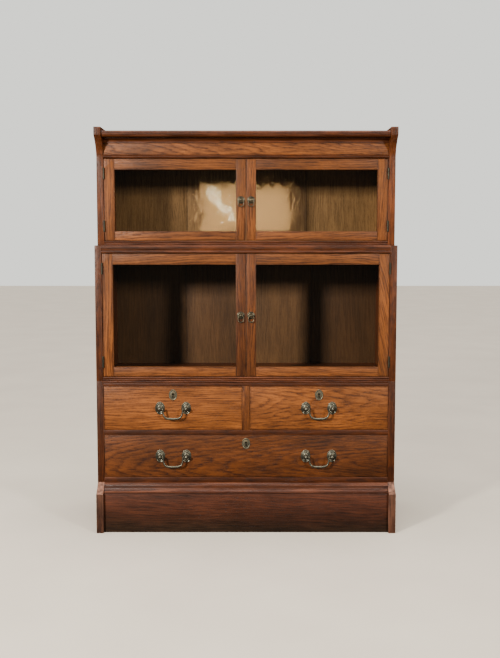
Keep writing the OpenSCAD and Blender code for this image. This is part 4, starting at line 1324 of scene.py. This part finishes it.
def drop_ring(name, body, spot):
    """A pear-shaped loop on a pin with a knob at each end."""
    x, y, z = spot + PULL_PIN
    top, wide, fall, rod, steps = 0.0049, 0.0081, 0.011, 0.00125, 8
    arm = [(top + (wide - top) * math.sin(math.pi / 2 * t), -fall * t)
           for t in (i / steps for i in range(steps + 1))]
    bow = [(wide * math.cos(a), -fall - wide * math.sin(a))
           for a in (math.pi * i / 20 for i in range(1, 20))]
    loop = [(-u, v) for u, v in arm + bow] + arm[::-1]
    path = [(x + u, y, z + v, rod + 0.0003 * (-v / 0.019)) for u, v in loop]
    pin = [(x - 0.0055, y, z, 0.0012), (x + 0.0055, y, z, 0.0012)]
    thing = joined(name, [
        tube("loop", path, 14), tube("pin", pin, 18),
        ball("knob", (x - 0.0050, y, z), 0.00165),
        ball("knob", (x + 0.0050, y, z), 0.00165)])
    metal(thing, body, "light_brass", [body])


def door_bolts():
    """The plate and straps of each left door's bolt, and the bolt itself."""
    half = 0.0036
    for case in CASES:
        body = f"door_{case}_left"
        hi = lohi(body + "_frame")[1]
        x, y, z = hi.x - 0.011, hi.y, hi.z
        things = [block("plate", (x - 0.006, y, z - 0.042),
                        (x + 0.006, y + 0.0012, z - 0.005), 0.0003)]
        for fall in (0.008, 0.032):
            outline = ([(x - half, y + 0.0010), (x - half, y + BOLT_OUT)]
                       + round_end(x, y + BOLT_OUT, half, 1, 12)
                       + [(x + half, y + BOLT_OUT), (x + half, y + 0.0010)])
            things.append(prism("strap", outline, "Z", z - fall - 0.005,
                                z - fall, 0.0002))
        thing = joined(f"Bolt_plate_{case}", things)
        cut(thing, [drill((x, y + BOLT_OUT, 0), 0.0021, z - 0.06, z + 0.01,
                          "Z")])
        metal(thing, body, "light_brass", [body + "_brassware"])
        for dx in (-0.0042, 0.0042):
            for fall in (0.019, 0.0395):
                screw(body, "light_brass", body + "_brassware",
                      (x + dx, y + 0.0012, z - fall), (0, 1, 0), 0.0013)
        rod = lathe("rod", [(0.0012, z - 0.0432), (0.0020, z - 0.0424),
                            (0.0020, z - 0.0022), (0.0012, z - 0.0010)],
                    (x, y + BOLT_OUT, 0), "Z", steps=24)
        knob = lathe("knob", [(0.0012, 0.0), (0.0012, 0.0026),
                              (0.0020, 0.0032), (0.0022, 0.0042),
                              (0.0016, 0.0050), (0.0004, 0.0053)],
                     (x, y + BOLT_OUT, z - 0.0225), "Y", steps=20)
        thing = joined(f"Door_bolt_{case}", [rod, knob])
        metal(thing, body + "_bolt", "dark_brass", [body + "_bolt"])


# ---------------------------------------------------------------- drawers


def tails(foot, top, y):
    """Outlines (y, z) of the dovetails that enter a front from y."""
    s = sizes()
    pitch = (top - foot) / 4
    shapes = []
    for i in range(4):
        z, w = foot + (i + 0.5) * pitch, pitch / 2 - 0.001
        shapes.append([(y, z - w + 0.003), (y - s.tail, z - w),
                       (y - s.tail, z + w), (y, z + w - 0.003)])
    return shapes


def drawers():
    """Each drawer's front, dovetailed sides, back and bottom."""
    s = sizes()
    for name in DRAWERS:
        body = "drawer_" + name
        lo, hi = lohi(body + "_front")
        b_lo, b_hi = lohi(body + "_box")
        shapes = tails(lo.z, b_hi.z, hi.y)
        drawer_front(name, body, shapes)
        node = body + "_box"
        left, right = lo.x + s.lining, hi.x - s.lining
        for side, x0, x1 in (("left", lo.x, left), ("right", right, hi.x)):
            outline = [(b_hi.y, b_lo.z), (b_hi.y, b_hi.z), (hi.y, b_hi.z)]
            for shape in reversed(shapes):
                outline += reversed(shape)
            outline += [(hi.y, b_lo.z)]
            thing = prism(f"Drawer_side_{side}_{name}", outline, "X", x0, x1,
                          0.0004)
            wood(thing, "Y", body, "lining_wood", [node])
        rear, floor = b_hi.y - 0.006, b_lo.z + 0.016
        board(f"Drawer_back_{name}", (left, rear - s.lining, floor),
              (right, rear, b_hi.z), "X", node, "lining_wood", body, 0.0006)
        board(f"Drawer_bottom_{name}", (left, hi.y, b_lo.z + 0.010),
              (right, b_hi.y, floor), "X", node, "lining_wood", body, 0.0004)


def drawer_front(name, body, shapes):
    """A front cut for its dovetails, lock, keyhole and handle posts."""
    lo, hi = lohi(body + "_front")
    lining = sizes().lining
    centre = (lo.x + hi.x) / 2
    cutters = [prism("cutter", shape, "X", x0, x1, 0.0)
               for x0, x1 in ((lo.x - 0.001, lo.x + lining),
                              (hi.x - lining, hi.x + 0.001))
               for shape in shapes]
    cutters.append(block("cutter", (centre - LOCK_HALF, hi.y - LOCK_DEEP,
                                    hi.z - LOCK_HIGH),
                         (centre + LOCK_HALF, hi.y + 0.001, hi.z + 0.001),
                         0.0))
    cutters.append(keyhole_cutter(centre, lo.y - 0.001, hi.y, hi.z))
    cutters += [drill((x + d, 0, z), POST_HOLE, lo.y - 0.001, hi.y + 0.001)
                for owner, _, x, _, z in handle_places() if owner == body
                for d in (-POST_HALF, POST_HALF)]
    board(f"Drawer_front_{name}", lo, hi, "X", body + "_front", "door_oak",
          body, cutters=cutters, flat_cut=name != "left", slope=0.0,
          tone={"left": 0.66, "right": 0.66, "long": 0.15}[name])
    # The keyhole's walls are given painted shade.
    paint_keyhole_shade(bpy.data.objects[f"Drawer_front_{name}"], centre, hi.z - KEY_FALL)


def paint_keyhole_shade(front, x, z):
    """Paints the walls of a front's keyhole near black: painted shade for the
    dark inside the hole.
    """
    front.data.materials.append(MATERIALS["keyhole_shade_paint"])
    for face in front.data.polygons:
        off = face.center - Vector((x, 0, z))
        near = abs(off.x) < 0.004 and -0.012 < off.z < 0.004
        if near and abs(face.normal.y) < 0.1:
            face.material_index = 1


def keyhole_outline(x, z):
    """A round eye over a slot that widens downwards."""
    eye, slot, fall = 0.0030, 0.0014, 0.0105
    start = math.asin(slot / eye)
    ring = [(x + eye * math.sin(a), z - eye * math.cos(a)) for a in
            (start + (2 * math.pi - 2 * start) * i / 20 for i in range(21))]
    return ring + [(x - 1.25 * slot, z - fall), (x + 1.25 * slot, z - fall)]


def keyhole_cutter(x, y0, y1, top):
    """Cuts a keyhole through the wood or brass of a drawer."""
    outline = keyhole_outline(x, top - KEY_FALL)
    return prism("cutter", outline, "Y", y0, y1, 0.0)


def oval(name, x, y, z, wide, high, steps):
    """An oval plate turned in steps, each (share of the radius, height)."""
    profile = [(share, -rise) for share, rise in steps]
    return lathe(name, profile, (x, y, z), "Y", (wide / 2, high / 2), 56)


def locks():
    """Each drawer's escutcheon, lock and sliding bolt."""
    rim = [(0.05, 0.0), (1.0, 0.0), (1.0, 0.0008), (0.96, 0.0014),
           (0.90, 0.0016), (0.84, 0.0013), (0.80, 0.0010), (0.74, 0.0010),
           (0.66, 0.0014), (0.30, 0.0015), (0.05, 0.0015)]
    for name in DRAWERS:
        body = "drawer_" + name
        node = body + "_fittings"
        lo, hi = lohi(body + "_front")
        centre, z = (lo.x + hi.x) / 2, hi.z - KEY_FALL
        plate = oval(f"Escutcheon_{name}", centre, lo.y, z - 0.0026, 0.024,
                     0.032, rim)
        cut(plate, [prism("cutter", keyhole_outline(centre, z), "Y",
                          lo.y - 0.004, lo.y + 0.001, 0.0)])
        metal(plate, body, "dark_brass", [node], "pale_brass")
        box = block("case", (centre - LOCK_HALF, hi.y - LOCK_DEEP,
                             hi.z - LOCK_HIGH),
                    (centre + LOCK_HALF, hi.y, hi.z), 0.0004)
        b_lo, b_hi = lohi(body + "_lock_bolt")
        gap = 0.0001
        cut(box, [block("cutter", b_lo - Vector((gap, gap, gap)),
                        (b_hi.x + gap, b_hi.y + gap, hi.z + 0.001), 0.0),
                  keyhole_cutter(centre, hi.y - 0.010, b_lo.y, hi.z)])
        pin = lathe("pin", [(0.0006, lo.y + 0.004), (0.0010, lo.y + 0.0045),
                            (0.0010, hi.y - 0.003)], (centre, 0, z),
                    steps=16)
        metal(joined(f"Lock_case_{name}", [box, pin]), body, "dark_brass",
              [node])
        for dx in (-0.0195, 0.0195):
            for fall in (0.005, 0.033):
                screw(body, "dark_brass", node,
                      (centre + dx, hi.y + 0.00005, hi.z - fall), (0, 1, 0),
                      0.0018)
        thing = block(f"Lock_bolt_{name}", b_lo, b_hi, 0.0004)
        metal(thing, body + "_lock_bolt", "dark_brass", [body + "_lock_bolt"])


def handle_places():
    """(body, node of the bail, x, y, z) of each handle."""
    places = []
    for name in DRAWERS:
        lo, hi = lohi(f"drawer_{name}_front")
        nodes = ([f"drawer_{name}_bail"] if name != "long" else
                 ["drawer_long_bail_left", "drawer_long_bail_right"])
        for node in nodes:
            b_lo, b_hi = lohi(node)
            places.append((f"drawer_{name}", node, (b_lo.x + b_hi.x) / 2,
                           lo.y, (lo.z + hi.z) / 2))
    return places


def handles():
    """Two oval roses, two turned posts and a swan-necked bail to a handle."""
    rose = [(0.10, 0.0), (1.0, 0.0), (1.0, 0.0006), (0.97, 0.0012),
            (0.92, 0.0015), (0.87, 0.0012), (0.83, 0.0009), (0.79, 0.0013),
            (0.74, 0.0022), (0.68, 0.0026), (0.62, 0.0023), (0.58, 0.0019),
            (0.53, 0.0024), (0.46, 0.0034), (0.38, 0.0038), (0.28, 0.0040),
            (0.10, 0.0040)]
    turned = [(0.0006, -0.0232), (0.0022, -0.0228), (0.0040, -0.0216),
              (0.0054, -0.0194), (0.0058, -0.0170), (0.0054, -0.0146),
              (0.0042, -0.0126), (0.0034, -0.0110), (0.0032, -0.0085),
              (0.0036, -0.0066), (0.0048, -0.0052), (0.0052, -0.0040),
              (0.0024, -0.0036), (0.0024, 0.0230), (0.0018, 0.0240),
              (0.0004, 0.0242)]
    # Half of a bail: (out from its middle, rise, radius).
    neck = [(0.0345, 0.0, 0.0016), (0.0315, 0.0, 0.0016),
            (0.0308, 0.0, 0.0026), (0.0296, -0.0012, 0.0028),
            (0.0286, -0.0050, 0.0026), (0.0282, -0.0095, 0.0025),
            (0.0272, -0.0150, 0.0026), (0.0248, -0.0210, 0.0028),
            (0.0205, -0.0256, 0.0031), (0.0140, -0.0280, 0.0034),
            (0.0070, -0.0287, 0.0036), (0.0, -0.0288, 0.0036)]
    for body, node, x, y, z in handle_places():
        tag = node.replace("drawer_", "")
        for end, sign in (("left", -1), ("right", 1)):
            px = x + sign * POST_HALF
            thing = oval(f"Rose_{tag}_{end}", px, y, z, 0.028, 0.037, rose)
            metal(thing, body, "dark_brass", [body + "_fittings"])
            post = lathe("post", turned, (px, y, z), steps=32)
            low, high = sorted((sign * 0.003, -sign * 0.007))
            cut(post, [drill((px, y - BAIL_OUT, z), 0.00170, low, high, "X",
                             20)])
            nut = block("nut", (px - 0.0045, y + 0.020, z - 0.0045),
                        (px + 0.0045, y + 0.023, z + 0.0045), 0.0006)
            metal(joined(f"Post_{tag}_{end}", [post, nut]), body,
                  "dark_brass", [body + "_fittings"])
        y -= BAIL_OUT
        line = ([(x + u, y, z + v, r) for u, v, r in neck]
                + [(x - u, y, z + v, r) for u, v, r in neck[-2::-1]])
        bail = joined(f"Bail_{tag}", [
            tube("grip", smooth_path(line, 5), 16),
            ball("bead", (x + 0.0302, y, z), 0.0030, (0.75, 1, 1)),
            ball("bead", (x - 0.0302, y, z), 0.0030, (0.75, 1, 1))])
        metal(bail, node, "dark_brass", [node])


def screws():
    """Sets the heads that screw() noted, in one piece for each CAD node."""
    tree = screw_tree()
    for (body, slot, node), heads in SCREWS.items():
        mesh = bpy.data.meshes.new("points")
        mesh.from_pydata([spot for spot, _, _ in heads], [], [])
        rng = random.Random(node + body)
        turns = []
        for _, facing, _ in heads:
            spin = Matrix.Rotation(rng.uniform(0, math.pi), 3, "Z")
            turn = (Vector(facing).to_track_quat("Z", "Y")
                    @ spin.to_quaternion())
            turns += list(turn.to_euler())
        write(mesh, "turn", turns, "FLOAT_VECTOR")
        write(mesh, "size", [radius for _, _, radius in heads])
        name = "Screws_" + node
        if name in bpy.data.objects:
            name += "_" + body
        thing = new_object(name, mesh)
        mod = thing.modifiers.new("screws", "NODES")
        mod.node_group = tree
        for key, value in SLOTTED_HEAD.items():
            set_input(mod, tree, key, value)
        set_input(mod, tree, "Metal", MATERIALS[slot])
        baked(thing)
        if not thing.data.polygons:
            raise RuntimeError("no screws were made for " + node)
        metal(thing, body, slot, [node])


# ---------------------------------------------------------------- the stage


# Name, kind, place, aim, power, colour, (width, height), and whether it
# lights what it shines on or is only seen in what mirrors it.
LAMPS = (
    ("Key", "AREA", (-2.33, -3.35, 1.72), (0, 0, 0.70), 247,
     (1.0, 0.95, 0.87), (0.39, 0.53), True),
    ("Fill", "AREA", (3.1, -4.3, 1.9), (0, 0, 0.70), 165,
     (1.0, 0.95, 0.87), (0.50, 0.68), True),
    ("Overhead", "SUN", (0.0, -0.4, 4.0), (0, 0, 0), 4.6,
     (1.0, 0.98, 0.95), None, True),
    ("Distant", "AREA", (-0.02, -4.6, 1.07), (0, 0, 0.97), 14,
     (1.0, 0.53, 0.21), (0.68, 0.35), False),
    ("Slit", "AREA", (-0.20, -4.58, 1.09), (-0.20, 0, 0.99), 1.9,
     (1.0, 0.93, 0.66), (0.026, 0.31), False),
)
OVERHEAD_SPREAD = 50.0
SLIT_LEAN = 34.0
WORLD_COLOUR = (0.93, 0.93, 0.87, 1.0)
WORLD_LIGHT, WORLD_SEEN = 0.14, 1.40
CAMERA_PLACE = (0.0115, -2.883, 0.8527)
CAMERA_TILT = 5.47
LENS, SENSOR = 52.5, 36.0


def floor():
    """A wide pale floor that throws no light back on the bookcase."""
    bm = bmesh.new()
    bmesh.ops.create_grid(bm, x_segments=1, y_segments=1, size=14.0)
    thing = from_bmesh("Floor", bm)
    n = Nodes("Pale floor")
    speck = n.noise(n.position(), 3.0)
    n.put(n.ramp(speck, (0.3, (0.65, 0.57, 0.47)), (0.7, (0.70, 0.62, 0.51))),
          n.shader.inputs["Base Color"])
    n.shader.inputs["Roughness"].default_value = 0.55
    thing.data.materials.append(n.material)
    thing.visible_diffuse = False
    thing.visible_glossy = False


def studio():
    """A world that looks bright and gives only a little light."""
    world = bpy.data.worlds.new("Studio")
    bpy.context.scene.world = world
    world.use_nodes = True
    tree = world.node_tree
    back = tree.nodes["Background"]
    back.inputs[0].default_value = WORLD_COLOUR
    seen = tree.nodes.new("ShaderNodeLightPath").outputs["Is Camera Ray"]
    level = tree.nodes.new("ShaderNodeMapRange")
    tree.links.new(seen, level.inputs["Value"])
    level.inputs["To Min"].default_value = WORLD_LIGHT
    level.inputs["To Max"].default_value = WORLD_SEEN
    tree.links.new(level.outputs[0], back.inputs[1])


def lamp(name, kind, spot, aim, power, tint, size, lights):
    """One row of LAMPS."""
    data = bpy.data.lights.new(name, kind)
    data.energy = power
    data.color = tint
    if size:
        data.shape = "RECTANGLE"
        data.size, data.size_y = size
    thing = new_object(name, data)
    thing.location = spot
    thing.rotation_euler = (Vector(aim) - Vector(spot)).to_track_quat(
        "-Z", "Y").to_euler()
    thing.visible_diffuse = lights
    return thing


def stage():
    """The floor, the world, the lamps and the camera."""
    floor()
    studio()
    lamps = {row[0]: lamp(*row) for row in LAMPS}
    lamps["Overhead"].data.angle = math.radians(OVERHEAD_SPREAD)
    lamps["Slit"].rotation_euler.rotate_axis("Z", math.radians(SLIT_LEAN))
    data = bpy.data.cameras.new("Camera")
    data.lens, data.sensor_width = LENS, SENSOR
    camera = new_object("Camera", data)
    camera.location = CAMERA_PLACE
    camera.rotation_euler = (math.radians(90 - CAMERA_TILT), 0.0, 0.0)
    bpy.context.scene.camera = camera


# ---------------------------------------------------------------- operators


def done(work):
    """Runs one of the builders above for an operator."""
    work()
    return {"FINISHED"}


class BOOKCASE_OT_finishes(bpy.types.Operator):
    """Makes the oak, brass and glass"""

    bl_idname = "bookcase.finishes"
    bl_label = "Finishes"
    bl_options = {"REGISTER", "UNDO"}

    def execute(self, context):
        return done(make_materials)


class BOOKCASE_OT_plinth(bpy.types.Operator):
    """Builds the plinth's moulded front, cheeks and base"""

    bl_idname = "bookcase.plinth"
    bl_label = "Plinth"
    bl_options = {"REGISTER", "UNDO"}

    def execute(self, context):
        return done(plinth)


class BOOKCASE_OT_drawer_case(bpy.types.Operator):
    """Builds the case the drawers run in"""

    bl_idname = "bookcase.drawer_case"
    bl_label = "Drawer case"
    bl_options = {"REGISTER", "UNDO"}

    def execute(self, context):
        return done(drawer_case)


class BOOKCASE_OT_middle_case(bpy.types.Operator):
    """Builds the middle glazed case"""

    bl_idname = "bookcase.middle_case"
    bl_label = "Middle case"
    bl_options = {"REGISTER", "UNDO"}

    def execute(self, context):
        return done(middle_case)


class BOOKCASE_OT_upper_case(bpy.types.Operator):
    """Builds the upper case, its frieze and its cornice"""

    bl_idname = "bookcase.upper_case"
    bl_label = "Upper case"
    bl_options = {"REGISTER", "UNDO"}

    def execute(self, context):
        return done(upper_case)


class BOOKCASE_OT_back_panels(bpy.types.Operator):
    """Builds the boards that close the back"""

    bl_idname = "bookcase.back_panels"
    bl_label = "Backs"
    bl_options = {"REGISTER", "UNDO"}

    def execute(self, context):
        return done(back_panels)


class BOOKCASE_OT_doors(bpy.types.Operator):
    """Builds the four glazed doors"""

    bl_idname = "bookcase.doors"
    bl_label = "Doors"
    bl_options = {"REGISTER", "UNDO"}

    def execute(self, context):
        return done(doors)


class BOOKCASE_OT_hinges(bpy.types.Operator):
    """Builds the butt hinges of the doors"""

    bl_idname = "bookcase.hinges"
    bl_label = "Hinges"
    bl_options = {"REGISTER", "UNDO"}

    def execute(self, context):
        return done(hinges)


class BOOKCASE_OT_ring_pulls(bpy.types.Operator):
    """Builds the doors' rings, plates and catches"""

    bl_idname = "bookcase.ring_pulls"
    bl_label = "Ring pulls"
    bl_options = {"REGISTER", "UNDO"}

    def execute(self, context):
        return done(ring_pulls)


class BOOKCASE_OT_door_bolts(bpy.types.Operator):
    """Builds the bolts of the left doors"""

    bl_idname = "bookcase.door_bolts"
    bl_label = "Door bolts"
    bl_options = {"REGISTER", "UNDO"}

    def execute(self, context):
        return done(door_bolts)


class BOOKCASE_OT_drawers(bpy.types.Operator):
    """Builds the three dovetailed drawers"""

    bl_idname = "bookcase.drawers"
    bl_label = "Drawers"
    bl_options = {"REGISTER", "UNDO"}

    def execute(self, context):
        return done(drawers)


class BOOKCASE_OT_locks(bpy.types.Operator):
    """Builds the drawer locks and escutcheons"""

    bl_idname = "bookcase.locks"
    bl_label = "Locks"
    bl_options = {"REGISTER", "UNDO"}

    def execute(self, context):
        return done(locks)


class BOOKCASE_OT_handles(bpy.types.Operator):
    """Builds the roses, posts and bails of the drawers"""

    bl_idname = "bookcase.handles"
    bl_label = "Handles"
    bl_options = {"REGISTER", "UNDO"}

    def execute(self, context):
        return done(handles)


class BOOKCASE_OT_screws(bpy.types.Operator):
    """Sets every screw head"""

    bl_idname = "bookcase.screws"
    bl_label = "Screws"
    bl_options = {"REGISTER", "UNDO"}

    def execute(self, context):
        return done(screws)


class BOOKCASE_OT_stage(bpy.types.Operator):
    """Sets the floor, the lights and the camera"""

    bl_idname = "bookcase.stage"
    bl_label = "Stage"
    bl_options = {"REGISTER", "UNDO"}

    def execute(self, context):
        return done(stage)


OPERATORS = (
    BOOKCASE_OT_finishes,
    BOOKCASE_OT_plinth,
    BOOKCASE_OT_drawer_case,
    BOOKCASE_OT_middle_case,
    BOOKCASE_OT_upper_case,
    BOOKCASE_OT_back_panels,
    BOOKCASE_OT_doors,
    BOOKCASE_OT_hinges,
    BOOKCASE_OT_ring_pulls,
    BOOKCASE_OT_door_bolts,
    BOOKCASE_OT_drawers,
    BOOKCASE_OT_locks,
    BOOKCASE_OT_handles,
    BOOKCASE_OT_screws,
    BOOKCASE_OT_stage,
)


class BOOKCASE_PT_panel(bpy.types.Panel):
    """Lists the bookcase's sizes, finishes and steps."""

    bl_label = "Bookcase"
    bl_idname = "BOOKCASE_PT_panel"
    bl_space_type = "VIEW_3D"
    bl_region_type = "UI"
    bl_category = "Bookcase"

    def draw(self, context):
        for group in (context.scene.bookcase_sizes,
                      context.scene.bookcase_finish):
            for key in group.bl_rna.properties.keys():
                if key not in ("rna_type", "name"):
                    self.layout.prop(group, key)
        for cls in OPERATORS:
            self.layout.operator(cls.bl_idname)


CLASSES = [BookcaseSizes, BookcaseFinish, *OPERATORS, BOOKCASE_PT_panel]


def register():
    for cls in CLASSES:
        bpy.utils.register_class(cls)
    bpy.types.Scene.bookcase_sizes = bpy.props.PointerProperty(
        type=BookcaseSizes)
    bpy.types.Scene.bookcase_finish = bpy.props.PointerProperty(
        type=BookcaseFinish)


def unregister():
    del bpy.types.Scene.bookcase_sizes
    del bpy.types.Scene.bookcase_finish
    for cls in reversed(CLASSES):
        bpy.utils.unregister_class(cls)


def main():
    """Builds the bookcase."""
    register()
    for cls in OPERATORS:
        getattr(bpy.ops.bookcase, cls.bl_idname.split(".")[1])()


if __name__ == "__main__":
    main()
